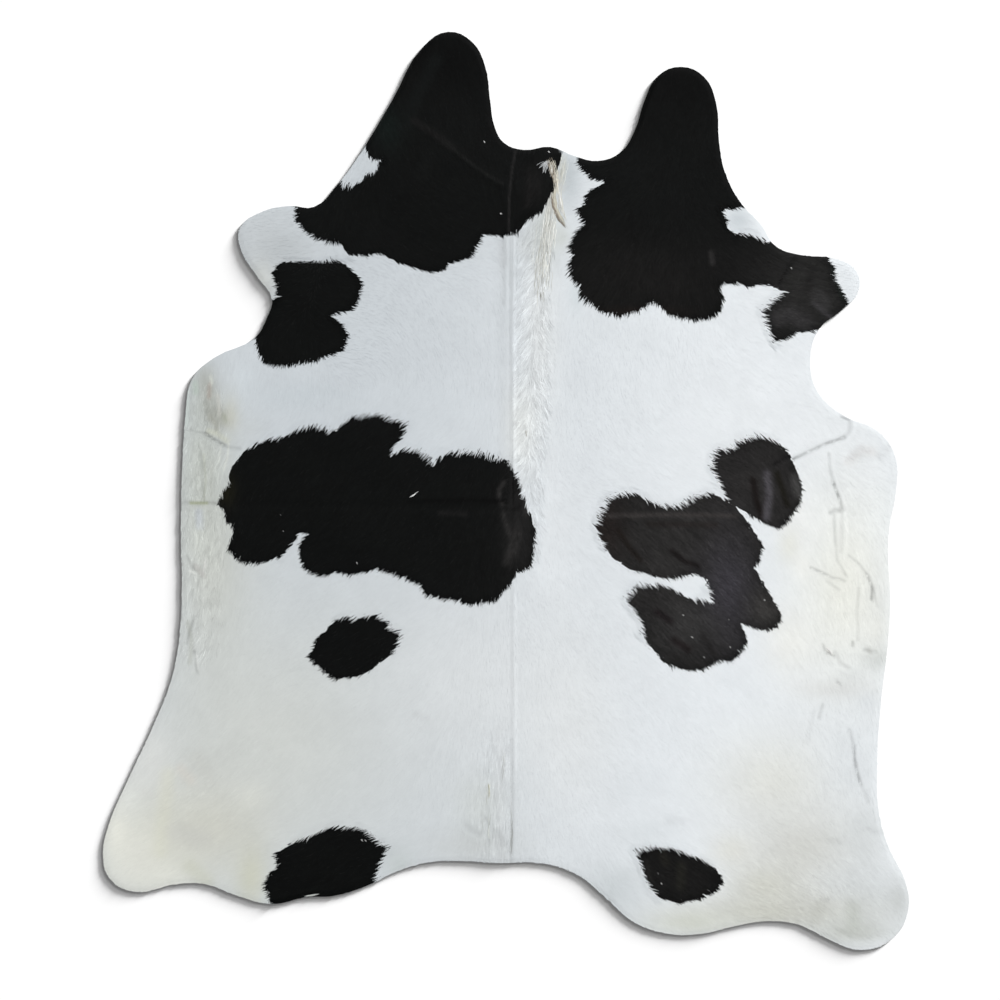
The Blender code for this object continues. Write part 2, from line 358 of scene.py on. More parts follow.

# %% [markdown]
# ## Patches
#
# A cow's patches have no pattern that a formula could give, so their borders are points listed along
# each one. The border only has to be right to a few millimetres: the hair that grows across it makes the
# ragged comb that the eye sees. Where a patch runs off the hide its points lie outside.

# %% Black patches
PATCHES = {
    "left neck": [
        (288, 196), (330, 168), (341, 182), (350, 183), (357, 184), (362, 181), (366, 175), (375, 172),
        (379, 166), (383, 160), (374, 161), (368, 158), (369, 152), (366, 147), (358, 140), (395, 70),
        (420, 22), (470, 18), (504, 60), (510, 135), (560, 136), (562, 150), (561, 160), (557, 170),
        (558, 181), (553, 190), (547, 200), (543, 210), (538, 214), (529, 218), (523, 224), (519, 231),
        (513, 235), (500, 235), (490, 234), (482, 234), (480, 241), (475, 249), (470, 257), (460, 261),
        (449, 263), (443, 270), (434, 272), (422, 271), (405, 265), (389, 259), (383, 253), (365, 255),
        (350, 256), (345, 250), (340, 243), (328, 242), (316, 238), (304, 229), (297, 220), (297, 212),
    ],
    "right neck and foreleg": [
        (575, 148), (600, 148), (622, 136), (640, 75), (675, 55), (712, 66), (728, 120), (730, 165),
        (748, 200), (743, 206), (733, 208), (720, 210), (725, 218), (727, 227), (732, 231), (734, 236),
        (745, 232), (758, 236), (769, 243), (786, 240), (826, 246), (827, 260), (834, 270), (834, 281),
        (842, 293), (848, 303), (846, 318), (826, 330), (812, 330), (799, 332), (786, 338), (773, 343),
        (768, 331), (762, 320), (760, 311), (768, 301), (782, 291), (772, 286), (760, 284), (749, 287),
        (737, 283), (719, 284), (720, 292), (724, 298), (720, 311), (708, 319), (690, 319), (671, 315),
        (663, 308), (655, 302), (648, 303), (643, 308), (632, 312), (621, 316), (602, 312), (590, 303),
        (583, 297), (581, 284), (571, 271), (575, 256), (573, 243), (580, 231), (585, 227), (584, 218),
        (578, 210), (586, 203), (587, 194), (598, 187), (607, 181), (596, 180), (586, 173), (578, 163),
    ],
    "left shoulder": [
        (266, 300), (278, 300), (277, 283), (273, 275), (275, 266), (284, 262), (305, 262), (323, 263),
        (334, 259), (347, 266), (357, 276), (362, 284), (358, 298), (352, 310), (336, 312), (331, 316),
        (342, 325), (347, 335), (343, 350), (328, 356), (316, 361), (296, 364), (281, 366), (267, 364),
        (259, 354), (256, 340), (246, 330), (258, 314),
    ],
    "left flank": [
        (216, 504), (221, 492), (226, 480), (234, 465), (243, 453), (256, 443), (270, 437), (287, 436),
        (297, 428), (314, 423), (329, 427), (337, 432), (344, 420), (353, 415), (378, 412), (391, 417),
        (408, 422), (407, 434), (396, 446), (390, 456), (404, 447), (418, 448), (430, 456), (433, 467),
        (439, 456), (454, 450), (480, 451), (498, 456), (508, 464), (520, 474), (525, 492), (530, 510),
        (535, 526), (534, 550), (530, 566), (519, 571), (512, 581), (502, 592), (496, 600), (473, 604),
        (445, 598), (427, 595), (419, 584), (404, 577), (377, 568), (351, 575), (337, 571), (320, 576),
        (306, 569), (300, 556), (299, 547), (310, 533), (300, 532), (293, 544), (284, 556), (266, 561),
        (251, 563), (236, 558), (229, 548), (230, 538), (235, 527), (226, 519), (225, 512), (218, 509),
    ],
    "left belly": [
        (309, 656), (316, 645), (317, 638), (324, 632), (330, 625), (340, 617), (350, 615), (357, 618),
        (365, 615), (373, 613), (383, 615), (389, 622), (395, 628), (401, 632), (402, 641), (397, 651),
        (382, 661), (368, 672), (362, 675), (336, 679), (326, 673), (321, 667), (313, 661),
    ],
    "left rump": [
        (265, 885), (271, 872), (278, 867), (276, 854), (298, 839), (314, 833), (334, 825), (356, 825),
        (371, 832), (380, 840), (391, 848), (382, 862), (378, 878), (374, 896), (330, 910), (288, 914),
        (272, 912), (270, 898),
    ],
    "right flank, upper": [
        (709, 468), (711, 457), (715, 449), (729, 447), (739, 439), (755, 433), (771, 438), (785, 449),
        (793, 460), (798, 476), (801, 491), (797, 507), (789, 519), (778, 528), (762, 522), (745, 512),
        (726, 499), (717, 482),
    ],
    "right flank": [
        (594, 529), (598, 514), (605, 499), (618, 492), (634, 491), (646, 498), (662, 505), (676, 505),
        (688, 498), (705, 491), (726, 499), (738, 509), (748, 523), (758, 537), (762, 546), (759, 560),
        (753, 567), (764, 584), (775, 604), (782, 616), (776, 627), (764, 630), (745, 624), (740, 623),
        (747, 638), (742, 650), (733, 660), (716, 661), (702, 669), (684, 669), (665, 663), (650, 647),
        (639, 633), (642, 626), (630, 607), (623, 597), (636, 583), (656, 583), (672, 587), (688, 598),
        (704, 598), (711, 602), (706, 588), (706, 580), (698, 573), (680, 576), (664, 578), (640, 571),
        (631, 571), (613, 558), (601, 545),
    ],
    "right rump": [
        (632, 850), (650, 845), (672, 847), (692, 854), (707, 862), (717, 870), (722, 880), (716, 890),
        (700, 898), (678, 903), (657, 897), (647, 886), (640, 866),
    ],
}
PATCH_REACH = 0.03


def patch_chart():
    """A chart of the distance into the nearest black patch, negative in the white."""
    black = np.full(cells_x.shape, -PATCH_REACH)
    for border in PATCHES.values():
        black = np.maximum(black, into_loop(on_floor(border), PATCH_REACH))
    return black


black_chart = patch_chart()
on_hide = edge_chart > 0
print("black share of the hide:", round((black_chart[on_hide] > 0).mean(), 2))

# %% [markdown]
# ## The way the hair lies
#
# On this hide the hair runs out from the spine and back towards the belly and the tail. At the neck
# it runs in from both sides and meets in the crest. Each row says how the hair leans at a place: 0
# points at the tail, 90 to the right and -90 to the left. Between the rows the lean is a mean, in which
# the nearest rows count most.

# %% Lean of the hair
LEANS = [
    (440, 80, 15), (400, 150, 30), (350, 172, -25), (430, 215, 60), (470, 250, 72), (520, 170, 12),
    (540, 240, 0), (590, 190, -70), (575, 235, -62), (577, 280, -42), (680, 110, -8), (650, 240, -25),
    (660, 310, 5), (735, 225, 55), (800, 300, 84), (850, 280, 80), (790, 370, 50), (265, 235, -80),
    (280, 285, -82), (350, 300, 78), (345, 340, 80), (300, 366, -10), (430, 330, 25), (600, 350, 10),
    (540, 330, 0), (532, 430, 0), (515, 560, 0), (512, 700, 0), (510, 850, 0), (390, 430, -55),
    (270, 445, -50), (440, 460, -45), (505, 475, -20), (300, 560, -55), (410, 582, -52), (390, 625, -62),
    (318, 655, -60), (400, 720, -45), (460, 790, -12), (492, 790, 0), (494, 845, 0), (200, 400, -4),
    (200, 500, 0), (195, 600, -4), (185, 690, -25), (230, 760, -50), (140, 850, -60), (270, 870, -66),
    (385, 850, -72), (440, 845, -40),
    (600, 500, 60), (640, 495, 48), (720, 470, 66), (755, 440, 48), (700, 590, 50), (635, 590, 50),
    (600, 720, 38), (690, 660, 45), (560, 620, 25), (790, 500, 35), (830, 500, 22), (870, 470, 50),
    (860, 600, 14), (860, 700, 14), (850, 770, 18), (790, 740, 35), (780, 850, 50), (870, 910, 45),
    (680, 880, 55), (620, 820, 45), (560, 840, 14), (760, 900, 60),
]
print("leans placed:", len(LEANS))

# %% [markdown]
# The leans become a chart of headings. Beside the line of the crest they are turned outwards, to part
# the hair there. Chance specks, drawn out along the headings like wet paint, give streaks that run with
# the hair, and the headings against the borders tell where hair of one colour runs over the other.

# %% Charts of the headings
LEAN_SHARPNESS = 3.2
CREST_REACH = 0.060
PARTING_FULL = 0.014
PARTING_LEFT, PARTING_RIGHT = -0.54, 0.38
STREAK_STEPS = 5


def heading_of_leans():
    """A chart of the hair's heading, as its part along X and its part along Y."""
    table = np.array(LEANS, float)
    places, leans = on_floor(table[:, :2]), np.radians(table[:, 2])
    total = np.zeros((*cells_x.shape, 2))
    for (x, y), lean in zip(places, leans):
        weight = 1 / (np.hypot(cells_x - x, cells_y - y) + CELL) ** LEAN_SHARPNESS
        total += weight[..., None] * np.array([math.sin(lean), -math.cos(lean)])
    return total / np.linalg.norm(total, axis=-1, keepdims=True)


def side_of_line(line, x, y):
    """How far places are to the right of a line that runs down the hide, in metres."""
    order = np.argsort(line[:, 1])
    return x - np.interp(y, line[order, 1], line[order, 0])


def part_at_crest(heading):
    """Turns the hair away from the crest's line on both sides of it."""
    line = on_floor(CREST_LINE)
    away = near_line(line, CREST_REACH)
    turn = np.where(side_of_line(line, cells_x, cells_y) > 0, PARTING_RIGHT, PARTING_LEFT)
    turn = turn * soft_step(away, 0, PARTING_FULL) * soft_step(CREST_REACH - away, 0, PARTING_FULL)
    along, across = heading[..., 0], heading[..., 1]
    x = along * np.cos(turn) - across * np.sin(turn)
    y = along * np.sin(turn) + across * np.cos(turn)
    return np.stack([x, y], axis=-1)


def draw_out(speckle):
    """A chart of chance specks drawn out into streaks along the lean, with mean 0 and spread 1."""
    total = speckle.copy()
    for way in (-CELL, CELL):
        x, y = cells_x, cells_y
        for _ in range(STREAK_STEPS):
            heading = read_chart(heading_chart, x, y)
            x, y = x + way * heading[..., 0], y + way * heading[..., 1]
            total += read_chart(speckle, x, y)
    return (total - total.mean()) / total.std()


heading_chart = part_at_crest(heading_of_leans())
streak_chart = draw_out(rng.normal(0, 1, cells_x.shape))
clump_chart = smooth_chance()
deeper_y, deeper_x = np.gradient(black_chart, CELL)
# 1 where the hair runs straight into a black patch, and -1 where it runs straight out of one.
inflow_chart = heading_chart[..., 0] * deeper_x + heading_chart[..., 1] * deeper_y
print("chart of headings and streaks:", heading_chart.shape)

# %% [markdown]
# ## The colour of the coat
#
# The white is never one white. On the left half it is painted cooler and darker, as shade where the hair
# points away from the light. It is warmer on the hind legs, and stained where the animal lay. The black is
# deepest on the neck; on the right it is browner, and lighter with painted sheen. Each row lays one soft
# spot of colour over what is there, as with an airbrush: where it is, how wide and tall, its colour and
# how strongly it covers.

# %% Tones and soft spots
# WHITE_LEFT is darker and cooler with painted shade; the white goes softly from it to WHITE_RIGHT.
WHITE_LEFT = (0.585, 0.625, 0.655)
WHITE_RIGHT = (0.810, 0.845, 0.870)
CREAM = (0.70, 0.70, 0.60)
STAIN = (0.33, 0.335, 0.29)
DULL_CREAM = (0.585, 0.59, 0.53)
SHADOW_GREY = (0.50, 0.53, 0.50)
BLACK = (0.0022, 0.0026, 0.0025)
BROWN_BLACK = (0.016, 0.0105, 0.0085)
# A painted sheen on the black hair.
SHEEN_GREY = (0.040, 0.038, 0.040)

# What it is, across and down, half width and half height in photo pixels, tone, strength.
WHITE_SPOTS = [
    ("left foreleg", 258, 258, 66, 82, (0.540, 0.570, 0.585), 0.80),
    ("left foreleg edge", 262, 282, 18, 26, CREAM, 0.30),
    ("left foreleg, shaded end", 284, 249, 32, 18, (0.46, 0.49, 0.505), 0.65),
    ("left flank, above the patch", 252, 428, 24, 16, (0.535, 0.570, 0.585), 0.55),
    ("left shoulder, pale", 242, 380, 15, 22, (0.65, 0.705, 0.74), 0.50),
    ("left shoulder, below the patch", 302, 397, 58, 20, (0.535, 0.585, 0.615), 0.50),
    ("left thigh and loin", 260, 740, 190, 170, (0.605, 0.625, 0.595), 0.85),
    ("left hind leg", 150, 850, 90, 80, CREAM, 0.70),
    ("left leg tip", 136, 856, 38, 40, (0.76, 0.765, 0.71), 0.55),
    ("left leg, upper edge", 128, 800, 20, 30, (0.77, 0.79, 0.75), 0.50),
    ("left leg, side edge", 118, 832, 14, 26, (0.82, 0.825, 0.75), 0.65),
    ("left leg, low", 168, 873, 28, 14, (0.75, 0.76, 0.70), 0.50),
    ("left rump, cream", 251, 874, 20, 42, (0.575, 0.585, 0.48), 0.85),
    ("left rump, right side", 400, 866, 18, 22, (0.49, 0.54, 0.525), 0.50),
    ("left thigh, pale", 252, 798, 22, 20, (0.69, 0.71, 0.66), 0.50),
    ("left hind leg, dull", 212, 828, 66, 50, DULL_CREAM, 0.85),
    ("left thigh stain", 205, 765, 38, 26, STAIN, 0.10),
    ("left thigh edge", 150, 760, 26, 40, (0.72, 0.73, 0.71), 0.60),
    ("left belly", 212, 560, 50, 130, (0.55, 0.565, 0.515), 0.75),
    ("left belly, light", 196, 542, 12, 20, (0.66, 0.69, 0.65), 0.50),
    ("left belly edge", 203, 465, 34, 90, (0.475, 0.50, 0.455), 0.75),
    ("left belly stain, top", 205, 380, 13, 20, STAIN, 0.55),
    ("left belly stain, upper", 210, 396, 12, 16, STAIN, 0.60),
    ("left belly stain, middle", 214, 412, 15, 12, STAIN, 0.60),
    ("left belly stain, lower", 222, 421, 15, 11, STAIN, 0.60),
    ("left belly stain, edge", 196, 408, 14, 26, SHADOW_GREY, 0.50),
    ("left belly, yellow", 231, 414, 10, 22, (0.56, 0.56, 0.47), 0.50),
    ("left of the spine", 480, 680, 120, 110, (0.735, 0.755, 0.760), 0.50),
    ("right of the spine", 552, 530, 34, 120, (0.80, 0.83, 0.85), 0.55),
    ("right ribs", 765, 430, 130, 76, (0.86, 0.885, 0.900), 0.35),
    ("right neck notch", 738, 220, 18, 18, (0.62, 0.67, 0.70), 0.85),
    ("right of the crest", 610, 335, 60, 24, (0.70, 0.735, 0.76), 0.40),
    ("right flank", 845, 590, 62, 124, (0.86, 0.865, 0.79), 0.82),
    ("right flank, inner", 800, 520, 24, 40, (0.90, 0.91, 0.89), 0.50),
    ("beside the right flank patch", 789, 545, 13, 22, (0.77, 0.775, 0.70), 0.60),
    ("right flank, light", 802, 566, 12, 18, (0.93, 0.93, 0.88), 0.40),
    ("right flank, outer", 877, 512, 14, 30, (0.93, 0.96, 0.95), 0.40),
    # A greyer spot beside the right belly's edge dent.
    ("right belly, grey spot", 878, 658, 20, 14, SHADOW_GREY, 0.45),
    ("right belly edge", 876, 630, 16, 26, (0.785, 0.79, 0.74), 0.50),
    ("right belly, dull", 850, 680, 18, 12, (0.71, 0.735, 0.72), 0.50),
    ("right thigh, top", 836, 689, 46, 13, (0.70, 0.695, 0.665), 0.50),
    ("right groin", 790, 642, 32, 40, (0.89, 0.885, 0.82), 0.50),
    ("right thigh, upper", 775, 780, 70, 55, (0.74, 0.745, 0.685), 0.70),
    ("right thigh, outer", 852, 760, 44, 90, (0.735, 0.77, 0.79), 0.70),
    ("right thigh, outer top", 868, 701, 14, 12, (0.69, 0.725, 0.75), 0.40),
    ("right thigh", 800, 850, 75, 60, (0.63, 0.635, 0.595), 0.85),
    ("right hind leg", 862, 900, 60, 45, (0.61, 0.64, 0.640), 0.75),
    ("right hind leg, low", 775, 912, 110, 24, (0.560, 0.565, 0.505), 0.90),
    ("right leg edge", 850, 932, 46, 16, (0.52, 0.54, 0.50), 0.80),
    ("right hind leg, inner", 800, 903, 24, 22, (0.56, 0.57, 0.545), 0.50),
    ("right leg tip", 898, 900, 14, 22, (0.54, 0.56, 0.55), 0.60),
    ("right hind leg, cream", 764, 886, 48, 30, (0.595, 0.60, 0.54), 0.85),
    ("right thigh, warm", 732, 850, 26, 20, (0.735, 0.735, 0.67), 0.60),
    ("right shank", 864, 836, 26, 36, (0.62, 0.65, 0.65), 0.50),
    ("above the right rump patch", 645, 832, 34, 16, (0.66, 0.70, 0.72), 0.50),
    ("right rump edge", 690, 922, 60, 18, (0.615, 0.635, 0.57), 0.85),
    ("right rump", 612, 893, 45, 40, (0.570, 0.610, 0.625), 0.80),
    ("right of the tail", 570, 725, 60, 110, (0.79, 0.81, 0.81), 0.50),
    ("tail", 478, 846, 58, 24, (0.56, 0.585, 0.585), 0.80),
    ("tail, upper", 482, 804, 34, 38, (0.56, 0.59, 0.565), 0.55),
    ("crest", 540, 330, 22, 110, (0.83, 0.845, 0.83), 0.45),
    ("crest, low", 522, 428, 20, 54, (0.80, 0.82, 0.80), 0.70),
    ("crest, neck", 545, 234, 18, 42, (0.565, 0.595, 0.57), 0.80),
    ("nape, left side", 526, 246, 12, 14, (0.55, 0.575, 0.575), 0.60),
    ("nape, right side", 562, 237, 10, 14, (0.59, 0.62, 0.59), 0.65),
    # Painted shade over the troughs beside the spine fold.
    ("left of the crest, trough shade", 509, 264, 13, 44, (0.58, 0.615, 0.635), 0.80),
    ("right of the nape", 568, 176, 16, 38, (0.485, 0.53, 0.55), 0.80),
    ("right of the neck", 577, 296, 9, 18, (0.60, 0.66, 0.68), 0.60),
]
# The lighter blacks on the right foreleg and flank and at the spine end of the left flank are painted sheen;
# the brown rows are the hair's own colour.
BLACK_SPOTS = [
    ("right neck, low", 650, 280, 120, 50, (0.0075, 0.0070, 0.0068), 0.80),
    ("right foreleg", 805, 290, 60, 60, (0.0200, 0.0195, 0.0190), 0.95),
    ("right flank", 690, 560, 150, 130, (0.0235, 0.0225, 0.0222), 1.00),
    ("right flank, upper", 762, 485, 70, 70, (0.0240, 0.0225, 0.0225), 0.80),
    ("right flank, left end", 606, 528, 24, 44, (0.0150, 0.0115, 0.0105), 0.90),
    ("right flank, sheen", 728, 590, 30, 60, (0.047, 0.044, 0.054), 0.70),
    ("right flank, right lobe sheen", 764, 608, 22, 22, (0.043, 0.041, 0.039), 0.70),
    ("right flank, low", 692, 632, 44, 34, (0.037, 0.036, 0.036), 0.65),
    ("right rump", 680, 878, 70, 50, (0.0082, 0.0080, 0.0078), 0.95),
    ("right neck, brown", 640, 312, 50, 6, BROWN_BLACK, 0.50),
    ("spine end of the left flank", 517, 530, 16, 46, (0.0150, 0.0145, 0.0145), 0.85),
    ("left end of the left flank", 226, 490, 12, 20, (0.0100, 0.0095, 0.0040), 0.70),
    ("nape", 532, 185, 12, 26, (0.0100, 0.0095, 0.0095), 0.70),
    ("left neck, side", 388, 128, 18, 26, (0.0050, 0.0090, 0.0080), 0.70),
    ("left ear", 446, 62, 60, 40, (0.0003, 0.0004, 0.0004), 0.85),
    ("right ear", 682, 88, 60, 46, (0.0004, 0.0005, 0.0005), 0.85),
]
print("soft spots:", len(WHITE_SPOTS) + len(BLACK_SPOTS))

# %% [markdown]
# What runs along a line is laid in strokes: stains and single dark hairs in the white, and in the black
# mostly painted sheen and shade: faint light lines along old folds, the sheen where the hair bends over a
# bulge, and shade in creases.

# %% Strokes
# What it is, points in the photo, half width in photo pixels, tone, strength.
WHITE_STROKES = [
    ("left belly, brown mark", [(210, 385), (209, 397)], 4, (0.35, 0.30, 0.265), 0.60),
    ("left belly, light tip", [(211, 376), (212, 383)], 3, (0.66, 0.69, 0.63), 0.60),
    ("left belly, grey blot", [(206, 403), (208, 412)], 5, (0.30, 0.31, 0.28), 0.50),
    ("left belly, olive blot", [(224, 415), (226, 421)], 4, (0.34, 0.36, 0.29), 0.60),
    ("left belly, olive blot, low", [(210, 417), (216, 424), (217, 430)], 5, (0.34, 0.345, 0.30), 0.60),
    ("left belly, light between", [(218, 396), (220, 414)], 4, (0.62, 0.62, 0.57), 0.45),
    ("left belly, green", [(195, 383), (196, 392)], 6, (0.45, 0.53, 0.47), 0.60),
    ("left belly, pale edge", [(188, 392), (187, 425)], 3, (0.58, 0.65, 0.62), 0.60),
    ("left belly, yellow", [(209, 431), (219, 435), (227, 441)], 5, (0.56, 0.57, 0.44), 0.45),
    ("left belly, light hair", [(229, 442), (228, 456), (224, 470)], 1.6, (0.74, 0.76, 0.70), 0.50),
    ("left belly, light hair, inner", [(221, 446), (219, 462)], 1.6, (0.70, 0.72, 0.67), 0.45),
    ("left belly, grey hair", [(204, 455), (206, 480), (204, 500)], 2, (0.40, 0.42, 0.36), 0.60),
    ("left belly, grey hair, low", [(212, 470), (211, 498)], 2, (0.46, 0.48, 0.44), 0.30),
    ("packing fold, olive", [(191, 503), (207, 503)], 3, (0.38, 0.41, 0.27), 0.80),
    ("left belly, bluish", [(199, 512), (200, 526)], 7, (0.56, 0.60, 0.65), 0.60),
    ("left belly, light hair, low", [(201, 524), (197, 548)], 2, (0.66, 0.69, 0.64), 0.40),
    ("left belly, light hair, end", [(206, 560), (203, 574)], 2, (0.68, 0.68, 0.66), 0.60),
    ("left belly, dull end", [(196, 566), (204, 576)], 5, (0.46, 0.45, 0.43), 0.50),
    ("left belly, white tip", [(190, 571), (195, 573)], 2, (0.80, 0.82, 0.78), 0.60),
    ("left belly, low stroke", [(188, 622), (192, 640), (190, 662)], 4, (0.44, 0.46, 0.42), 0.50),
    ("left belly, low tip", [(197, 655), (198, 669)], 1.6, (0.76, 0.78, 0.76), 0.60),
    ("nape", [(551, 160), (552, 180), (549, 212)], 7, (0.46, 0.455, 0.41), 0.75),
    ("nape, right side", [(562, 158), (562, 190)], 6, (0.62, 0.63, 0.60), 0.50),
    ("spine, shaded top", [(503, 240), (503, 262)], 9, (0.50, 0.52, 0.54), 0.50),
    ("right shoulder, pink", [(848, 462), (862, 450), (872, 452)], 9, (0.76, 0.75, 0.74), 0.50),
    ("left leg, yellow", [(168, 775), (165, 805), (160, 850)], 14, (0.655, 0.66, 0.55), 0.45),
    ("left leg, grey", [(176, 832), (202, 838)], 18, (0.555, 0.56, 0.53), 0.45),
    ("left leg, tan", [(181, 769), (191, 780)], 9, (0.64, 0.60, 0.54), 0.40),
    ("left leg, grey top", [(196, 760), (208, 776)], 14, (0.55, 0.56, 0.53), 0.40),
    ("left leg, olive", [(190, 866), (206, 880)], 14, (0.56, 0.575, 0.485), 0.55),
    ("right leg, green patch", [(852, 908), (853, 922)], 13, (0.46, 0.49, 0.44), 0.40),
    ("right leg, grey patch", [(820, 906), (815, 920)], 13, (0.46, 0.47, 0.43), 0.35),
    ("right leg, edge blot", [(868, 649), (870, 652)], 4, (0.55, 0.56, 0.53), 0.60),
    ("loin, left of the spine", [(500, 730), (500, 800), (502, 860)], 12, (0.62, 0.64, 0.65), 0.30),
]
# Most rows in the black are painted: the lighter ones are painted sheen on folds and bulges, the darker ones
# painted shade in creases and between the bands of sheen.
BLACK_STROKES = [
    ("neck, faint sheen", [(436, 60), (424, 84), (404, 126)], 13, (0.0046, 0.0060, 0.0058), 0.55),
    ("neck, faint sheen, low", [(432, 150), (420, 176)], 12, (0.0040, 0.0046, 0.0044), 0.45),
    ("ear fold, wide end", [(414, 121), (434, 134), (452, 148)], 6, (0.0090, 0.0085, 0.0085), 0.70),
    ("ear fold", [(442, 141), (478, 169), (502, 184)], 3, (0.0090, 0.0095, 0.0090), 0.75),
    ("spine fold", [(516, 148), (512, 170), (509, 200), (509, 232)], 2.2, (0.0150, 0.0145, 0.0145), 0.90),
    ("nape sheen", [(529, 172), (530, 190), (527, 206)], 5, (0.0090, 0.0085, 0.0085), 0.60),
    ("nape sheen, right", [(538, 176), (539, 192)], 4, (0.0090, 0.0085, 0.0085), 0.50),
    ("neck glint", [(711, 253), (712, 263)], 5, (0.040, 0.038, 0.038), 0.50),
    ("foreleg line", [(795, 257), (787, 270), (779, 283)], 2.5, (0.0030, 0.0030, 0.0030), 0.90),
    ("foreleg, low light", [(778, 318), (790, 314), (804, 322)], 15, SHEEN_GREY, 0.52),
    ("foreleg, shade", [(812, 272), (806, 290)], 8, (0.0090, 0.0085, 0.0085), 0.60),
    ("foreleg, sheen streak", [(814, 303), (824, 312), (836, 321)], 4, (0.050, 0.048, 0.052), 0.60),
    ("foreleg, soft light", [(818, 296), (824, 304)], 12, (0.036, 0.035, 0.036), 0.55),
    ("foreleg, grey edge", [(792, 252), (822, 252)], 6, (0.034, 0.033, 0.034), 0.50),
    ("foreleg, dull edge", [(832, 268), (838, 286), (842, 298)], 5, (0.0070, 0.0110, 0.0090), 0.60),
    ("packing fold, lit", [(606, 516), (640, 515), (700, 515), (736, 516)], 4, (0.039, 0.035, 0.034), 0.80),
    ("packing fold, shade", [(648, 524), (716, 525)], 6, (0.0150, 0.0115, 0.0105), 0.60),
    ("left end stroke", [(618, 530), (628, 546), (640, 560)], 5, (0.0090, 0.0060, 0.0045), 0.70),
    ("middle stroke", [(672, 551), (684, 561), (698, 566)], 5, (0.0065, 0.0045, 0.0045), 0.85),
    ("middle stroke, faint", [(690, 530), (704, 540)], 6, (0.0120, 0.0115, 0.0115), 0.55),
    ("upper dark band", [(753, 480), (756, 500), (762, 518)], 6, (0.0070, 0.0045, 0.0040), 0.95),
    ("upper bright band", [(767, 474), (769, 495), (766, 518)], 7, (0.066, 0.062, 0.070), 0.90),
    ("upper dark band, right", [(777, 474), (783, 492), (787, 505)], 6, (0.0080, 0.0070, 0.0045), 0.95),
    ("upper sheen, right", [(794, 478), (799, 495)], 8, (0.062, 0.061, 0.060), 0.80),
    ("upper crease", [(774, 464), (784, 458), (792, 456)], 3, (0.0060, 0.0055, 0.0060), 0.80),
    ("low dark spot", [(657, 612), (670, 621)], 7, (0.0080, 0.0050, 0.0060), 0.75),
    ("low dark spot, lower", [(674, 640), (688, 649)], 7, (0.0080, 0.0045, 0.0050), 0.75),
    ("low dark spot, right", [(703, 636), (713, 652)], 6, (0.0100, 0.0090, 0.0090), 0.65),
    ("spine end, curl", [(504, 482), (499, 490), (499, 498), (502, 504)], 4, (0.0330, 0.0315, 0.0310), 0.60),
    ("spine end, shade", [(511, 480), (512, 500)], 5, (0.0060, 0.0058, 0.0058), 0.60),
    ("spine end, crease", [(505, 508), (512, 510), (522, 507)], 3, (0.0050, 0.0048, 0.0048), 0.70),
    ("spine end, lit middle", [(503, 513), (505, 522), (509, 534)], 4, (0.0330, 0.0315, 0.0310), 0.55),
    ("spine end, lit low", [(516, 534), (514, 546), (507, 562)], 8, (0.0290, 0.0275, 0.0270), 0.50),
    ("spine end, lit right", [(520, 494), (525, 503), (526, 516)], 5, (0.0240, 0.0230, 0.0230), 0.50),
    ("right rump, light middle", [(681, 866), (681, 886)], 8, (0.0170, 0.0168, 0.0130), 0.60),
    ("right rump, light top", [(663, 855), (666, 862)], 8, (0.0175, 0.0168, 0.0130), 0.50),
    ("right rump, light left", [(645, 862), (651, 884)], 6, (0.0210, 0.0200, 0.0190), 0.50),
    ("left flank fold", [(410, 501), (470, 500), (505, 501)], 4, (0.0006, 0.0006, 0.0006), 0.85),
    ("left flank fold, lit", [(440, 513), (466, 514)], 4, (0.0120, 0.0115, 0.0115), 0.60),
]
print("strokes:", len(WHITE_STROKES) + len(BLACK_STROKES))

# %% [markdown]
# Both colours get a chart over the whole hide, because hair of one colour also crosses into the other's
# ground. The white goes softly from its left tone to its right one, then come the spots, the strokes and
# the shade of the folds.

# %% Laying the tones
WHITE_TURNS_FROM, WHITE_TURNS_TO = 320, 790
SPOT_SPREAD = 0.8125


def soft_spot(across, down, half_width, half_height, spread):
    """A chart of a soft round spot: 1 in its middle, and fading over its half sizes times the spread."""
    x, y = on_floor((across, down))
    away = np.hypot((cells_x - x) / (half_width * PIXEL), (cells_y - y) / (half_height * PIXEL))
    return np.exp(-((away / spread) ** 2))


def spread_spots(chart, spots):
    """Lays each soft spot of colour over a chart of colours."""
    for _, across, down, half_width, half_height, tone, strength in spots:
        cover = strength * soft_spot(across, down, half_width, half_height, SPOT_SPREAD)
        chart = chart + cover[..., None] * (np.array(tone) - chart)
    return chart


def lay_strokes(chart, strokes):
    """Lays each soft stroke of colour over a chart of colours."""
    for _, places, half_width, tone, strength in strokes:
        reach = half_width * PIXEL
        cover = strength * hump(near_line(on_floor(places), reach), reach)
        chart = chart + cover[..., None] * (np.array(tone) - chart)
    return chart


def side_to_side(left, right):
    """A chart that goes from one colour on the left to another on the right."""
    share = soft_step(cells_x, floor_x(WHITE_TURNS_FROM), floor_x(WHITE_TURNS_TO))[..., None]
    return np.array(left) + share * (np.array(right) - np.array(left))


# Painted shade: the white is darker and cooler on the left half, lighter on the right.
white_tones = side_to_side(WHITE_LEFT, WHITE_RIGHT)
white_tones = lay_strokes(spread_spots(white_tones, WHITE_SPOTS), WHITE_STROKES)
# The folds' painted shade darkens the white, and lightens it where the amount is negative.
white_tones = white_tones * (1 - fold_shade[..., None])
black_tones = np.full((*cells_x.shape, 3), BLACK)
black_tones = lay_strokes(spread_spots(black_tones, BLACK_SPOTS), BLACK_STROKES)
print("white, mean tone:", white_tones[on_hide].mean(axis=0).round(3))

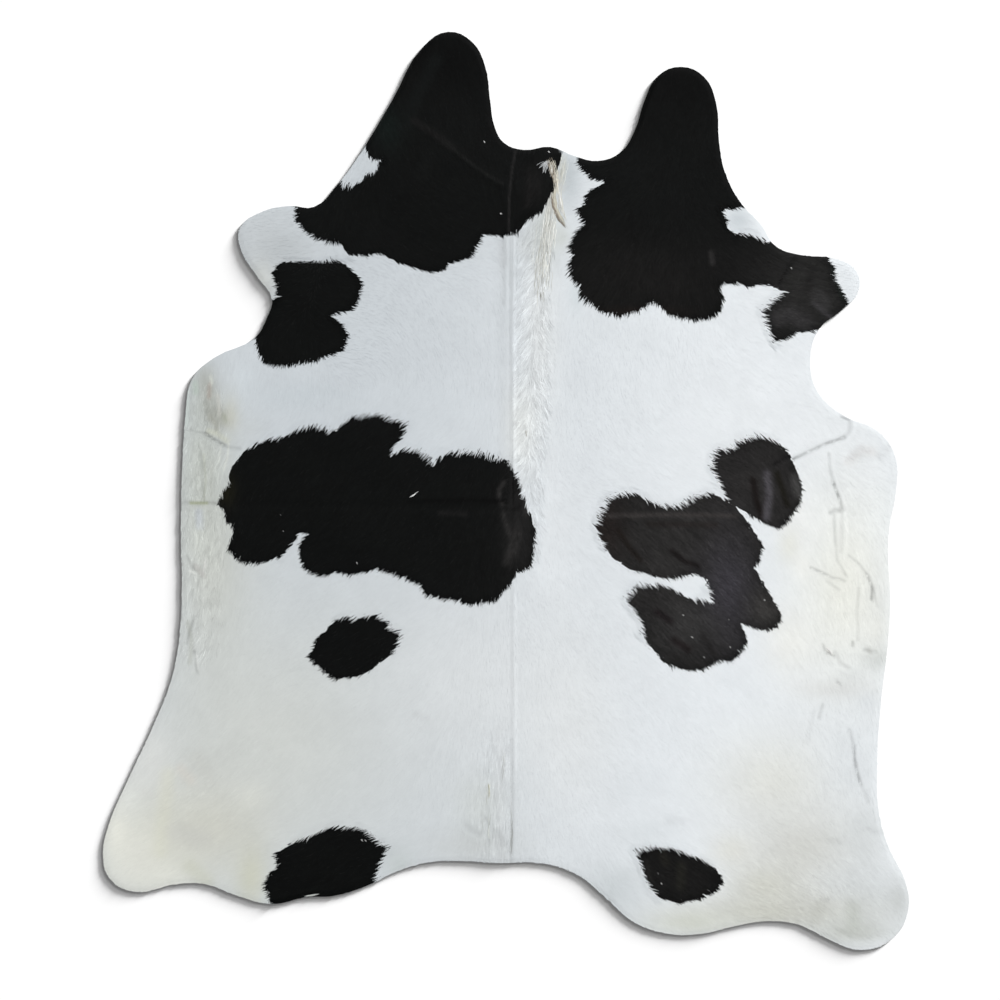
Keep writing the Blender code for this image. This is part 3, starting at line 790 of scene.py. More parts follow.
# %% [markdown]
# ## Materials
#
# A finish is a small tree of shader nodes. The class below lets a number in the tree be used like a
# number in Python, so a formula reads as one. Colours and vectors go through their own mixing nodes,
# because plain maths on them would turn them grey.

# %% Shader helpers
TONE = "tone"


class Number:
    """A number in a finish's node tree. Arithmetic on it adds Math nodes."""

    def __init__(self, finish, socket):
        self.finish = finish
        self.socket = socket

    def maths(self, operation, other):
        """This number and another one, put together by a Math node."""
        inputs = {0: self, 1: other}
        return self.finish.add("ShaderNodeMath", {"operation": operation}, inputs, "Value")

    def __add__(self, other):
        return self.maths("ADD", other)

    def __mul__(self, other):
        return self.maths("MULTIPLY", other)

    __radd__ = __add__
    __rmul__ = __mul__


class Finish:
    """A material with one Principled surface and short ways to feed it."""

    def __init__(self, name, roughness, specular):
        self.material = bpy.data.materials.new(name)
        self.material.use_nodes = True
        self.tree = self.material.node_tree
        self.surface = self.tree.nodes["Principled BSDF"]
        self.surface.inputs["Roughness"].default_value = roughness
        self.surface.inputs["Specular IOR Level"].default_value = specular

    def feed(self, socket, value):
        """Links a number from the tree to a socket, or sets a plain value on it."""
        if isinstance(value, Number):
            self.tree.links.new(value.socket, socket)
        else:
            socket.default_value = value

    def add(self, kind, settings, inputs, output):
        """Adds a node: its settings first, then what its sockets hold. Gives one of its outputs."""
        node = self.tree.nodes.new(kind)
        for name, value in settings.items():
            setattr(node, name, value)
        for name, value in inputs.items():
            self.feed(node.inputs[name], value)
        return Number(self, node.outputs[output])

    def tone(self):
        """The tone that the mesh carries."""
        return self.add("ShaderNodeAttribute", {"attribute_name": TONE}, {}, "Color")

    def noise(self, scale, detail, stretch=(1.0, 1.0, 1.0)):
        """Soft noise over the piece, from 0 to 1, drawn out along an axis by a small stretch."""
        place = self.add("ShaderNodeTexCoord", {}, {}, "Object")
        place = self.add("ShaderNodeMapping", {}, {"Vector": place, "Scale": stretch}, "Vector")
        inputs = {"Vector": place, "Scale": scale, "Detail": detail}
        return self.add("ShaderNodeTexNoise", {}, inputs, "Fac")

    def mix(self, blend, share, first, second):
        """Mixes two colours."""
        settings = {"data_type": "RGBA", "blend_type": blend}
        return self.add("ShaderNodeMix", settings, {0: share, 6: first, 7: second}, 2)

    def colour(self, colour, number):
        """Gives the surface a colour, made lighter or darker by a number in the tree."""
        grey = self.add("ShaderNodeCombineColor", {}, {0: number, 1: number, 2: number}, "Color")
        self.feed(self.surface.inputs["Base Color"], self.mix("MULTIPLY", 1.0, colour, grey))

    def bump(self, height, distance, strength):
        """Makes the light fall as if a height in the tree stood out by that distance."""
        inputs = {"Height": height, "Distance": distance, "Strength": strength}
        self.feed(self.surface.inputs["Normal"], self.add("ShaderNodeBump", {}, inputs, "Normal"))


print("finishes read the colours of a mesh from its attribute", TONE)

# %% [markdown]
# ## Finishes
#
# Hair is a dull surface with a weak broad gloss. Each hair lock carries its own tone as an attribute, so
# the material only adds fine mottling and slow clouds. Under the locks the leather has the same colours,
# or gaps between the locks would show. The back is suede, with a soft nap and faint clouds, and the
# cut edge is raw. The scales of the noise are in lumps a metre.

# %% The five finishes
HAIR_MOTTLE, HAIR_CLOUDS, HAIR_GLOSS = 260.0, 14.0, 90.0
GLOSS_SWING = 0.12
SKIN_GRAIN, SKIN_PORES = 420.0, 500.0
GRAIN_STRETCH, PORE_STRETCH = (1.0, 0.35, 1.0), (1.0, 0.3, 1.0)
GRAIN_DEPTH, GRAIN_DARKEST = 0.08, 0.93
PORE_BUMP = 0.001
SUEDE_CLOUDS, SUEDE_NAP, SUEDE_DENTS = 9.0, 700.0, 60.0
NAP_DEPTH, NAP_DARKEST = 0.25, 0.87
DENT_SHARE = 2.0
NAP_BUMP = 0.0006


def hair_finish(name, roughness, specular, mottle, clouds):
    """Hair that takes its colour from each lock, with fine mottling and slow faint clouds."""
    finish = Finish(name, roughness, specular)
    fine = finish.noise(HAIR_MOTTLE, detail=3) * mottle + finish.noise(HAIR_CLOUDS, detail=3) * clouds
    finish.colour(finish.tone(), fine + (1 - mottle / 2 - clouds / 2))
    gloss = finish.noise(HAIR_GLOSS, detail=2) * GLOSS_SWING + (roughness - GLOSS_SWING / 2)
    finish.feed(finish.surface.inputs["Roughness"], gloss)
    return finish.material


def skin_finish():
    """The leather under the hair, in the coat's own colours."""
    finish = Finish("skin", roughness=0.85, specular=0.2)
    grain = finish.noise(SKIN_GRAIN, detail=4, stretch=GRAIN_STRETCH)
    finish.colour(finish.tone(), grain * GRAIN_DEPTH + GRAIN_DARKEST)
    finish.bump(finish.noise(SKIN_PORES, detail=4, stretch=PORE_STRETCH), PORE_BUMP, strength=0.15)
    return finish.material


def suede_finish(name, dark, light):
    """Brushed leather: a fine nap over slow clouds of colour."""
    finish = Finish(name, roughness=0.95, specular=0.15)
    clouds = finish.noise(SUEDE_CLOUDS, detail=4)
    nap = finish.noise(SUEDE_NAP, detail=3)
    finish.colour(finish.mix("MIX", clouds, dark, light), nap * NAP_DEPTH + NAP_DARKEST)
    finish.bump(nap + finish.noise(SUEDE_DENTS, detail=3) * DENT_SHARE, NAP_BUMP, strength=0.6)
    return finish.material


white_hair = hair_finish("white_hair", roughness=0.72, specular=0.22, mottle=0.04, clouds=0.10)
black_hair = hair_finish("black_hair", roughness=0.55, specular=0.05, mottle=0.30, clouds=0.50)
skin = skin_finish()
suede = suede_finish("suede_back", dark=(0.34, 0.31, 0.28, 1.0), light=(0.50, 0.47, 0.43, 1.0))
raw_edge = suede_finish("raw_edge", dark=(0.40, 0.41, 0.40, 1.0), light=(0.56, 0.57, 0.56, 1.0))
finishes = (white_hair, black_hair, skin, suede, raw_edge)
print("finishes:", ", ".join(material.name for material in finishes))

# %% [markdown]
# ## The leather
#
# The flat face is pulled up into a thin solid, and its top is cut into a net fine enough to hold the
# folds. Cutting everything at once is slow, so a line only cuts what still lies beyond the last one.
# Then each corner of the top moves to the height that the chart gives there.

# %% Cutting the net
NET = 0.008
NET_RIM = NET / 3
CUT_SLACK = NET / 20


def cut_across(mesh, faces, axis, first, last):
    """Cuts faces into strips along an axis, and gives all the strips."""
    normal = [0.0, 0.0, 0.0]
    normal[axis] = 1.0
    done, ahead = [], faces
    for line in np.arange(first, last, NET):
        place = [0.0, 0.0, 0.0]
        place[axis] = line
        around = {item for face in ahead for item in (face, *face.edges, *face.verts)}
        cut = bmesh.ops.bisect_plane(
            mesh, geom=list(around), plane_co=place, plane_no=normal, dist=CUT_SLACK
        )
        pieces = [item for item in cut["geom"] if isinstance(item, bmesh.types.BMFace)]
        ahead = []
        for face in pieces:
            if face.calc_center_median()[axis] > line:
                ahead.append(face)
            else:
                done.append(face)
        if not ahead:
            break
    return done + ahead


def leather_solid():
    """The leather as a closed solid with a netted top, and the faces of its top and its underside."""
    mesh = flat_face()
    underside = mesh.faces[:]
    raised = bmesh.ops.extrude_face_region(mesh, geom=underside, use_keep_orig=True)["geom"]
    top = [item for item in raised if isinstance(item, bmesh.types.BMFace)]
    bmesh.ops.translate(mesh, verts=top[0].verts, vec=(0.0, 0.0, RIM_TOP))
    bmesh.ops.inset_region(mesh, faces=top, thickness=NET_RIM, use_even_offset=True)
    strips = cut_across(mesh, top, 0, low[0] + NET, high[0])
    net = cut_across(mesh, strips, 1, low[1] + NET, high[1])
    bmesh.ops.recalc_face_normals(mesh, faces=mesh.faces)
    return mesh, net, underside


print("the net's squares are", round(NET / MILLIMETRE, 1), "mm wide")

# %% [markdown]
# The top and the back lie flat and side by side on one map of the piece's own. The narrow wall of the
# cut edge is opened outwards round the top. The top also carries the tones of the coat.

# %% Raising, mapping and colouring the leather
MAP_NAME = "OFBake"
MAP_GAP = 0.02
MAP_SIZE = 2 * (high[0] - low[0]) + 4 * MAP_GAP
MAP_SPAN = high[1] - low[1] + 2 * MAP_GAP
SKIN_SLOT, SUEDE_SLOT, EDGE_SLOT = 0, 1, 2
STEEP = 0.5
BORDER_BLUR = 0.002


def map_leather(mesh, underside):
    """Gives the leather a map with its top on the left and its back on the right."""
    uv = mesh.loops.layers.uv.new(MAP_NAME)
    middle = high[0] - low[0] + 2.5 * MAP_GAP
    for face in mesh.faces:
        shift = middle if face in underside else MAP_GAP
        for corner in face.loops:
            place = corner.vert.co
            out = corner.vert.normal.xy * max(0.0, RIM_TOP - place.z) * (face not in underside)
            u = (place.x + out.x - low[0] + shift) / MAP_SIZE
            v = (place.y + out.y - low[1] + MAP_GAP) / MAP_SIZE
            corner[uv].uv = (u, v)


def leather_tones(x, y):
    """The colour of the skin under the hair."""
    white, black = read_chart(white_tones, x, y), read_chart(black_tones, x, y)
    share = soft_step(read_chart(black_chart, x, y), -BORDER_BLUR, BORDER_BLUR)[..., None]
    return white + share * (black - white)


def carry_tones(data, tones):
    """Stores a tone for each corner of a mesh, for its finish to read."""
    colours = np.ones((len(data.vertices), 4))
    colours[:, :3] = tones.reshape(-1, 3)
    data.attributes.new(TONE, "FLOAT_COLOR", "POINT").data.foreach_set("color", colours.ravel())


def add_piece(name, data, materials):
    """Puts a finished mesh in the scene."""
    for material in materials:
        data.materials.append(material)
    piece = bpy.data.objects.new(name, data)
    bpy.context.scene.collection.objects.link(piece)
    return piece


def make_leather():
    """The leather sheet, raised, mapped and coloured."""
    mesh, net, underside = leather_solid()
    corners = list({corner for face in net for corner in face.verts})
    places = np.array([corner.co.xy for corner in corners])
    for corner, height in zip(corners, read_chart(height_chart, places[:, 0], places[:, 1])):
        corner.co.z = height
    mesh.normal_update()
    for face in mesh.faces:
        face.material_index = EDGE_SLOT if abs(face.normal.z) < STEEP else SKIN_SLOT
        face.smooth = True
    for face in net:
        face.material_index = SKIN_SLOT
    for face in underside:
        face.material_index = SUEDE_SLOT
    map_leather(mesh, underside)
    bmesh.ops.triangulate(mesh, faces=[face for face in mesh.faces if len(face.verts) > 4])
    data = bpy.data.meshes.new("leather")
    mesh.to_mesh(data)
    mesh.free()
    places = np.array([corner.co for corner in data.vertices])
    carry_tones(data, leather_tones(places[:, 0], places[:, 1]))
    return add_piece("leather", data, (skin, suede, raw_edge))


leather = make_leather()
print("leather:", len(leather.data.polygons), "faces")

# %% [markdown]
# ## Hair in locks
#
# Single hairs would be far too many. Real hair clings together in flat tapering locks a few millimetres
# wide, so that is what is made: thin ribbons that rise a little from the skin, lie along the lean
# and end in a point. All the locks of one colour and side are one mesh, built straight from arrays.
# Because a lock overlaps those below it, a border between black and white combs itself.

# %% Where locks grow, and along which lines
SKIN_MARGIN = 0.001
CLUMP_SHARE = 0.9
SHORTEST_LOCK = 0.0032
SHORTEST_SHARE = 0.12
OVERHANG = (-0.0003, 0.0006)
SMALLEST_DROP = 1e-4


def sow(spacing, wanted):
    """Roots on a shaken net over the hide, kept where wanted says so."""
    columns = np.arange(low[0], high[0], spacing)
    rows = np.arange(low[1], high[1], spacing)
    x, y = (side.ravel() for side in np.meshgrid(columns, rows))
    x = x + rng.uniform(-0.5, 0.5, x.size) * spacing
    y = y + rng.uniform(-0.5, 0.5, y.size) * spacing
    kept = (read_chart(edge_chart, x, y) > SKIN_MARGIN) & wanted(x, y)
    return np.stack([x[kept], y[kept]], axis=-1)


def comb(roots, length, sway, bend, joints):
    """Lines that follow the lean of the hair, short beside a crease and trimmed at the cut edge."""
    count = len(roots)
    room = read_chart(crease_room, roots[:, 0], roots[:, 1])
    length = np.minimum(length, np.maximum(room, SHORTEST_LOCK))
    clump = read_chart(clump_chart, roots[:, 0], roots[:, 1])
    turn = sway * (rng.normal(0, 1, count) + CLUMP_SHARE * clump)
    bends = rng.normal(0, bend, count)
    lines = np.empty((count, joints, 2))
    lines[:, 0] = roots
    for joint in range(1, joints):
        before = lines[:, joint - 1]
        heading = read_chart(heading_chart, before[:, 0], before[:, 1])
        way = np.arctan2(heading[:, 1], heading[:, 0]) + turn + bends * (joint - 1) / joints
        step = np.stack([np.cos(way), np.sin(way)], axis=-1) * length[:, None] / (joints - 1)
        lines[:, joint] = before + step
    depth = read_chart(edge_chart, roots[:, 0], roots[:, 1])
    spare = read_chart(edge_chart, lines[:, -1, 0], lines[:, -1, 1])
    overhang = rng.uniform(*OVERHANG, count)
    trimmed = (depth - overhang) / np.maximum(depth - spare, SMALLEST_DROP)
    reach = np.clip(np.where(spare < overhang, trimmed, 1.0), SHORTEST_SHARE, 1.0)
    return roots[:, None] + (lines - roots[:, None]) * reach[:, None, None]


print("roots keep", SKIN_MARGIN / MILLIMETRE, "mm away from the cut edge")

# %% [markdown]
# Light shows every tilt of a surface. Real hair is round, so it shines evenly however a lock is turned.
# The ribbons are flat, so each corner is told to face the way the leather under it faces, with only a
# little of its own tilt. Without that the white coat would look like straw.

# %% Turning lines into ribbons
ROOT_WIDTH = 0.65
WAIST_WIDTH = 1.4
ROOT_LIFT = 0.08
ARCH = 3.2
OWN_TILT = 0.06
STRAY_TILT = 0.009
SHORTEST_STEP = 1e-6


def ribbons(lines, width, lift, tip):
    """The corners of ribbons along lines, two a joint and one at the tip, and the way each faces."""
    count, joints = lines.shape[:2]
    steps = np.gradient(lines, axis=1)
    run = np.maximum(np.linalg.norm(steps, axis=-1, keepdims=True), SHORTEST_STEP)
    along = steps / run
    share = np.linspace(0, 1, joints)
    half = width[:, None] / 2 * (ROOT_WIDTH + WAIST_WIDTH * share * (1 - share)) * (share < 1)
    rise = lift[:, None] * (ROOT_LIFT + ARCH * share * (1 - share) + tip * share)
    across = np.stack([-along[..., 1], along[..., 0]], axis=-1) * half[..., None]
    flat = np.stack([lines + across, lines - across], axis=2).reshape(count, -1, 2)[:, :-1]
    ground = read_chart(height_chart, flat[..., 0], flat[..., 1])
    corners = np.concatenate([flat, (ground + np.repeat(rise, 2, axis=1)[:, :-1])[..., None]], axis=-1)
    own = OWN_TILT * np.gradient(rise, axis=1)[..., None] / run * along
    tilt = read_chart(slope_chart, flat[..., 0], flat[..., 1]) + np.repeat(own, 2, axis=1)[:, :-1]
    tilt = tilt + rng.normal(0, STRAY_TILT, (count, 1, 2))
    normals = np.concatenate([-tilt, np.ones((*flat.shape[:2], 1))], axis=-1)
    return corners, normals / np.linalg.norm(normals, axis=-1, keepdims=True)


def ribbon_faces(count, joints):
    """Triangles for count ribbons, all facing up."""
    one = []
    for joint in range(joints - 2):
        left, right, next_left, next_right = range(2 * joint, 2 * joint + 4)
        one += [(right, next_right, next_left), (right, next_left, left)]
    last = 2 * (joints - 2)
    one.append((last + 1, last + 2, last))
    step = np.arange(count)[:, None, None] * (2 * joints - 1)
    return (np.array(one)[None] + step).reshape(-1, 3)


print("triangles of one lock, with 3, 4 and 5 joints:", [len(ribbon_faces(1, n)) for n in (3, 4, 5)])

# %% [markdown]
# One helper makes every piece of hair. Each corner of a lock takes the tone under it, with painted shade
# at the root where that is asked. The map is a plain view from above. A lock is lighter or darker than the
# chart by the streak that it grows in and by a chance of its own, so that the coat shows strands.

# %% Making a piece of locks
STREAK_SHARE = 0.8
OWN_SHARE = 0.6


def make_locks(name, lines, width, lift, tip, tones, material, root_shade=1.0):
    """One piece of many locks along lines, with its tones and its map."""
    count, joints = lines.shape[:2]
    corners, normals = ribbons(lines, width, lift, tip)
    places = corners.reshape(-1, 3)
    data = bpy.data.meshes.new(name)
    data.from_pydata(places, [], ribbon_faces(count, joints))
    tones = np.repeat(np.broadcast_to(tones, (count, joints, 3)), 2, axis=1)[:, :-1]
    # Painted shade at each lock's root, where root_shade is below 1.
    tones[:, :2] *= root_shade
    carry_tones(data, np.clip(tones, 0, 1))
    corner_of_loop = np.empty(len(data.loops), int)
    data.loops.foreach_get("vertex_index", corner_of_loop)
    flat = (places[corner_of_loop, :2] - [low[0] - MAP_GAP, low[1] - MAP_GAP]) / MAP_SPAN
    data.uv_layers.new(name=MAP_NAME).data.foreach_set("uv", flat.ravel())
    data.shade_smooth()
    data.normals_split_custom_set_from_vertices(normals.reshape(-1, 3))
    print(name + ":", count, "locks,", len(data.polygons), "triangles")
    return add_piece(name, data, [material])


def tones_along(lines, chart, spread):
    """The chart's tones along each lock, and each lock lighter or darker by its streak and by chance."""
    tones = read_chart(chart, lines[..., 0], lines[..., 1])
    streak = read_chart(streak_chart, lines[:, 0, 0], lines[:, 0, 1])
    luck = STREAK_SHARE * streak + OWN_SHARE * rng.normal(0, 1, len(lines))
    return tones * np.exp(luck * spread)[:, None, None]


print("the map of the hair spans", round(MAP_SPAN, 2), "m")

# %% [markdown]
# ## The short coat
#
# The hair isn't as long everywhere. It is longer and its tone more uneven in the crest, along the left
# belly, by the tail, on the right flank and on the thighs. It is longer where it combs out of the right
# neck patch, and shorter at two borders that the photograph shows as clean.

# %% Where the hair is longer
# Where, across and down, half width and half height in photo pixels, longer by, tone more uneven by.
LOOSE_HAIR = [
    ("left belly", 203, 500, 26, 110, 0.6, 0.045),
    ("right neck border", 577, 252, 14, 44, 1.15, 0.0),
    ("left neck edge", 368, 168, 13, 16, -0.5, 0.0),
    ("left shoulder, top border", 312, 262, 40, 9, -0.75, 0.0),
    ("right flank", 842, 560, 34, 110, 0.3, 0.022),
    ("tail", 495, 810, 22, 60, 0.4, 0.045),
    ("crest", 531, 330, 20, 150, 0.6, 0.030),
    ("right thigh", 795, 890, 80, 44, 0.3, 0.034),
    ("left thigh", 200, 790, 60, 60, 0.2, 0.012),
]
CALM_SPREAD = 0.010


def loose_charts():
    """Charts of how much longer the hair is, as a share, and of how uneven its tone is."""
    longer, uneven = np.zeros(cells_x.shape), np.full(cells_x.shape, CALM_SPREAD)
    for _, across, down, half_width, half_height, more, spread in LOOSE_HAIR:
        cover = soft_spot(across, down, half_width, half_height, 1.0)
        longer += more * cover
        uneven += spread * cover
    return longer, uneven


longer_chart, uneven_chart = loose_charts()


def lock_lengths(roots, usual, chances):
    """How long each lock is: the usual length, changed by where it grows and by chance."""
    longer = 1 + read_chart(longer_chart, roots[:, 0], roots[:, 1])
    return usual * longer * rng.uniform(*chances, len(roots))


print("hair is longer by a share of", longer_chart.min().round(2), "to", longer_chart.max().round(2))

# %% [markdown]
# Which colour a lock has depends on where it shows, a little ahead of its root. A slight waviness in the
# line between the colours keeps the listed points from showing. Two sine waves that bend each other are
# enough for it.

# %% Black or white
SHOWS_AHEAD = 0.009
BORDER_WAVE = 0.0007
# For each wave: how fast it runs, how fast its bends run, and how far they bend it.
WAVE_ACROSS = (700, 300, 3)
WAVE_ALONG = (620, 410, 2)


def bent_wave(ahead, aside, wave):
    """A sine wave that runs ahead and is bent by a slower one that runs aside."""
    speed, bend_speed, bend = wave
    return np.sin(ahead * speed + bend * np.sin(aside * bend_speed))


def into_black(x, y):
    """How far into a black patch a lock shows, negative in the white."""
    heading = read_chart(heading_chart, x, y)
    wave = bent_wave(x, y, WAVE_ACROSS) + bent_wave(y, x, WAVE_ALONG)
    shown = x + heading[:, 0] * SHOWS_AHEAD, y + heading[:, 1] * SHOWS_AHEAD
    return read_chart(black_chart, *shown) + BORDER_WAVE * wave


print("the border waves by at most", round(2 * BORDER_WAVE / MILLIMETRE, 1), "mm")

# %% [markdown]
# The white coat is sown in three bands so that no piece grows too large, and the black coat in two. A
# black lock varies more in tone than a white one, because so little light comes back from it.

# %% Short coat
WHITE_SPACING = 0.0041
BLACK_SPACING = 0.0036
WHITE_LENGTH = 0.021
BLACK_LENGTH = 0.017
BLACK_SPREAD = 0.16
LOCK_WIDTH = 0.0030
LOCK_LIFT = 0.0006
LENGTH_RANGE = (0.7, 1.3)
WIDTH_RANGE = (0.7, 1.3)
LIFT_RANGE = (0.6, 1.2)
COAT_SWAY, COAT_BEND = 0.10, 0.20
COAT_TIP = 0.35
BANDS = {"left": (100, 400), "middle": (400, 620), "right": (620, 910)}


def short_coat(name, spacing, hair_length, wanted, chart, spread, material):
    """A piece of short coat. The spread of its tones is one number, or a chart of it."""
    roots = sow(spacing, wanted)
    length = lock_lengths(roots, hair_length, LENGTH_RANGE)
    lines = comb(roots, length, COAT_SWAY, COAT_BEND, joints=3)
    width = LOCK_WIDTH * rng.uniform(*WIDTH_RANGE, len(roots))
    lift = LOCK_LIFT * rng.uniform(*LIFT_RANGE, len(roots))
    if np.ndim(spread):
        spread = read_chart(spread, roots[:, 0], roots[:, 1])
    tones = tones_along(lines, chart, spread)
    return make_locks(name, lines, width, lift, COAT_TIP, tones, material)


coat = []
for side, (across_left, across_right) in BANDS.items():
    left_end, right_end = floor_x(across_left), floor_x(across_right)
    coat.append(short_coat(
        "white_coat_" + side, WHITE_SPACING, WHITE_LENGTH,
        lambda x, y: (into_black(x, y) < 0) & (x >= left_end) & (x < right_end),
        white_tones, uneven_chart, white_hair,
    ))
for side, keep in (("left", -1), ("right", 1)):
    coat.append(short_coat(
        "black_coat_" + side, BLACK_SPACING, BLACK_LENGTH,
        lambda x, y: (into_black(x, y) >= 0) & (x * keep > 0),
        black_tones, BLACK_SPREAD, black_hair,
    ))

# %% [markdown]
# ## Combed borders
#
# Where the hair runs from white into black, long thin white tips lie over the black like a comb. Where
# it runs out of black, the black tips over the white are shorter. Both are sown only beside such
# borders, thin and close, and a little higher, so that they lie on top.

# %% Fringes
FRINGE_SPACING = 0.0025
FRINGE_REACH = 0.010
FRINGE_RANGE = (0.2, 1.2)
FRINGE_CROSSING = 0.15
FRINGE_WIDTH = 0.0013
FRINGE_LIFT = 0.0012
FRINGE_LENGTH_RANGE = (0.6, 1.4)
FRINGE_SWAY, FRINGE_BEND = 0.13, 0.22
FRINGE_TIP = 0.9
WHITE_TIPS_LENGTH = 0.025
WHITE_TIPS_SPREAD = 0.02
BLACK_TIPS_LENGTH = 0.0165


def fringe(name, side, hair_length, chart, spread, material):
    """Thin locks beside the borders that the hair of this side crosses: -1 for white, 1 for black."""

    def wanted(x, y):
        depth = into_black(x, y) * side
        near = (depth > 0) & (depth < FRINGE_REACH * rng.uniform(*FRINGE_RANGE, x.size))
        return near & (read_chart(inflow_chart, x, y) * side < -FRINGE_CROSSING)

    roots = sow(FRINGE_SPACING, wanted)
    length = lock_lengths(roots, hair_length, FRINGE_LENGTH_RANGE)
    lines = comb(roots, length, FRINGE_SWAY, FRINGE_BEND, joints=4)
    width = FRINGE_WIDTH * rng.uniform(*WIDTH_RANGE, len(roots))
    lift = FRINGE_LIFT * rng.uniform(*LIFT_RANGE, len(roots))
    tones = tones_along(lines, chart, spread)
    return make_locks(name, lines, width, lift, FRINGE_TIP, tones, material)


coat.append(fringe("white_fringe", -1, WHITE_TIPS_LENGTH, white_tones, WHITE_TIPS_SPREAD, white_hair))
coat.append(fringe("black_fringe", 1, BLACK_TIPS_LENGTH, black_tones, BLACK_SPREAD, black_hair))

# %% [markdown]
# ## Long hair
#
# Along the neck the hair is longer and lies in strands, cream and white over painted grey shade. From the
# crest's line they part to both sides like a fish bone, wider on the left, as far as the fold down the
# spine. The left belly and the root of the tail have flatter strands of the same kind. Shade painted at
# their roots parts one strand from the next.

# %% Long strands
LONG_SPACING = 0.0027
LONG_LENGTH = (0.018, 0.032)
LONG_WIDTH = (0.0009, 0.0018)
LONG_LIFT_RANGE = (0.5, 1.2)
LONG_REACH_RANGE = (0.3, 1)
LONG_TIP = 0.3
LONG_ROOT_SHADE = 0.76
NECK_AND_BACK = [(534, 236), (532, 300), (529, 400), (525, 450), (522, 545)]
# Name, line in the photo, reach to both sides and left limit in photo pixels, lift, unevenness, sway.
LONG_HAIR = [
    ("crest", NECK_AND_BACK, 20, 513, 0.0014, 0.105, 0.14),
    ("belly_hair", [(206, 400), (205, 500), (198, 640)], 24, 0, 0.0009, 0.090, 0.14),
    ("tail_hair", [(499, 740), (499, 862)], 17, 0, 0.0009, 0.065, 0.03),
]


def long_hair(name, line, reach, left_limit, lift, spread, sway):
    """Long fine strands on both sides of a line, fewer away from it."""
    away = near_line(on_floor(line), reach * PIXEL)

    def wanted(x, y):
        near = read_chart(away, x, y) < reach * PIXEL * rng.uniform(*LONG_REACH_RANGE, x.size)
        return near & (x > floor_x(left_limit)) & (into_black(x, y) < 0)

    roots = sow(LONG_SPACING, wanted)
    lines = comb(roots, rng.uniform(*LONG_LENGTH, len(roots)), sway, 2 * sway, joints=5)
    width = rng.uniform(*LONG_WIDTH, len(roots))
    lifts = lift * rng.uniform(*LONG_LIFT_RANGE, len(roots))
    tones = tones_along(lines, white_tones, spread)
    return make_locks(name, lines, width, lifts, LONG_TIP, tones, white_hair, LONG_ROOT_SHADE)


for row in LONG_HAIR:
    coat.append(long_hair(*row))

# %% [markdown]
# ## Single locks
#
# Some locks stand out one by one. A cream lock trails from the nape over the black, with brown strands
# and painted shade on its lower-left side, and pale strands, over strands of painted shade, run on from it
# into the crest. Beside it is a white tuft. Two black patches have a nick of white, the right belly a
# curl, the tail thin lines and the crest two partings, dark with painted shade. Each is a small bundle
# of strands along given points. Last come stray white hairs in the black.

# %% The listed locks
# NAPE_BROWN_SHADE is brown hair with painted shade, and CREST_SHADE is painted grey shade among the crest's
# pale strands.
NAPE_CREAM = (0.66, 0.64, 0.55)
NAPE_PALE = (0.80, 0.80, 0.74)
NAPE_BROWN_SHADE = (0.30, 0.26, 0.21)
CREST_PALE = (0.74, 0.75, 0.71)
CREST_SHADE = (0.53, 0.535, 0.50)
TUFT_WHITE = (0.50, 0.52, 0.53)
CURL_WHITE = (0.90, 0.90, 0.86)

# What it is, points in the photo, strands, half width in photo pixels at the roots and the tips, tone.
SINGLE_LOCKS = [
    ("nape lock, top", [(551, 157), (555, 170), (557, 184), (556, 196)], 34, 4.0, 1.5, NAPE_CREAM),
    ("nape lock, top shade", [(549, 156), (552, 168), (556, 184), (557, 192)], 14, 3.5, 1.2, NAPE_BROWN_SHADE),
    ("nape lock", [(556, 180), (554, 196), (557, 212), (568, 229)], 30, 2.6, 0.8, (0.60, 0.58, 0.49)),
    ("nape lock, pale side", [(558, 176), (559, 194), (562, 210), (566, 222)], 20, 3.0, 1.6, NAPE_PALE),
    ("nape lock, shade", [(551, 190), (553, 206), (559, 220), (567, 229)], 24, 2.6, 1.0, NAPE_BROWN_SHADE),
    ("nape, pale veil", [(565, 155), (563, 170), (559, 190)], 30, 4.0, 3.0, (0.64, 0.65, 0.60)),
    ("nape to crest", [(552, 200), (547, 230), (544, 262), (542, 298)], 110, 8.0, 10.0, CREST_PALE),
    ("nape to crest, shade", [(553, 196), (548, 232), (543, 262), (541, 299)], 58, 7.0, 8.0, CREST_SHADE),
    ("white tuft", [(549, 160), (546, 165), (544, 174)], 12, 1.4, 3.4, TUFT_WHITE),
    ("white tuft, side", [(549, 160), (543, 163), (537, 167)], 6, 1.0, 2.6, TUFT_WHITE),
    ("white tuft, right", [(551, 161), (552, 168), (551, 176)], 9, 1.6, 2.6, (0.60, 0.60, 0.56)),
    ("flank nick", [(419, 491), (415, 494), (410, 498)], 7, 0.5, 0.5, (0.66, 0.67, 0.66)),
    ("rump nick", [(319, 894), (311, 895), (304, 896)], 8, 1.0, 0.6, (0.52, 0.54, 0.52)),
    ("belly curl", [(825, 647), (829, 650), (833, 656)], 16, 1.6, 1.0, CURL_WHITE),
    ("tail line", [(511, 796), (512, 830), (512, 861)], 8, 1.4, 1.4, (0.50, 0.52, 0.51)),
    ("tail line, left", [(489, 812), (488, 842)], 6, 2.4, 2.4, (0.48, 0.50, 0.48)),
    ("tail line, yellow", [(488, 776), (488, 804)], 5, 3.0, 3.0, (0.60, 0.60, 0.50)),
    ("tail line, top", [(503, 748), (503, 784)], 5, 4.0, 4.0, (0.62, 0.64, 0.63)),
    # The partings are dark with painted shade.
    ("crest parting", [(541, 288), (541, 302)], 8, 1.0, 0.5, (0.36, 0.36, 0.33)),
    ("crest parting, low", [(526, 428), (526, 440)], 5, 1.0, 0.5, (0.52, 0.52, 0.49)),
]
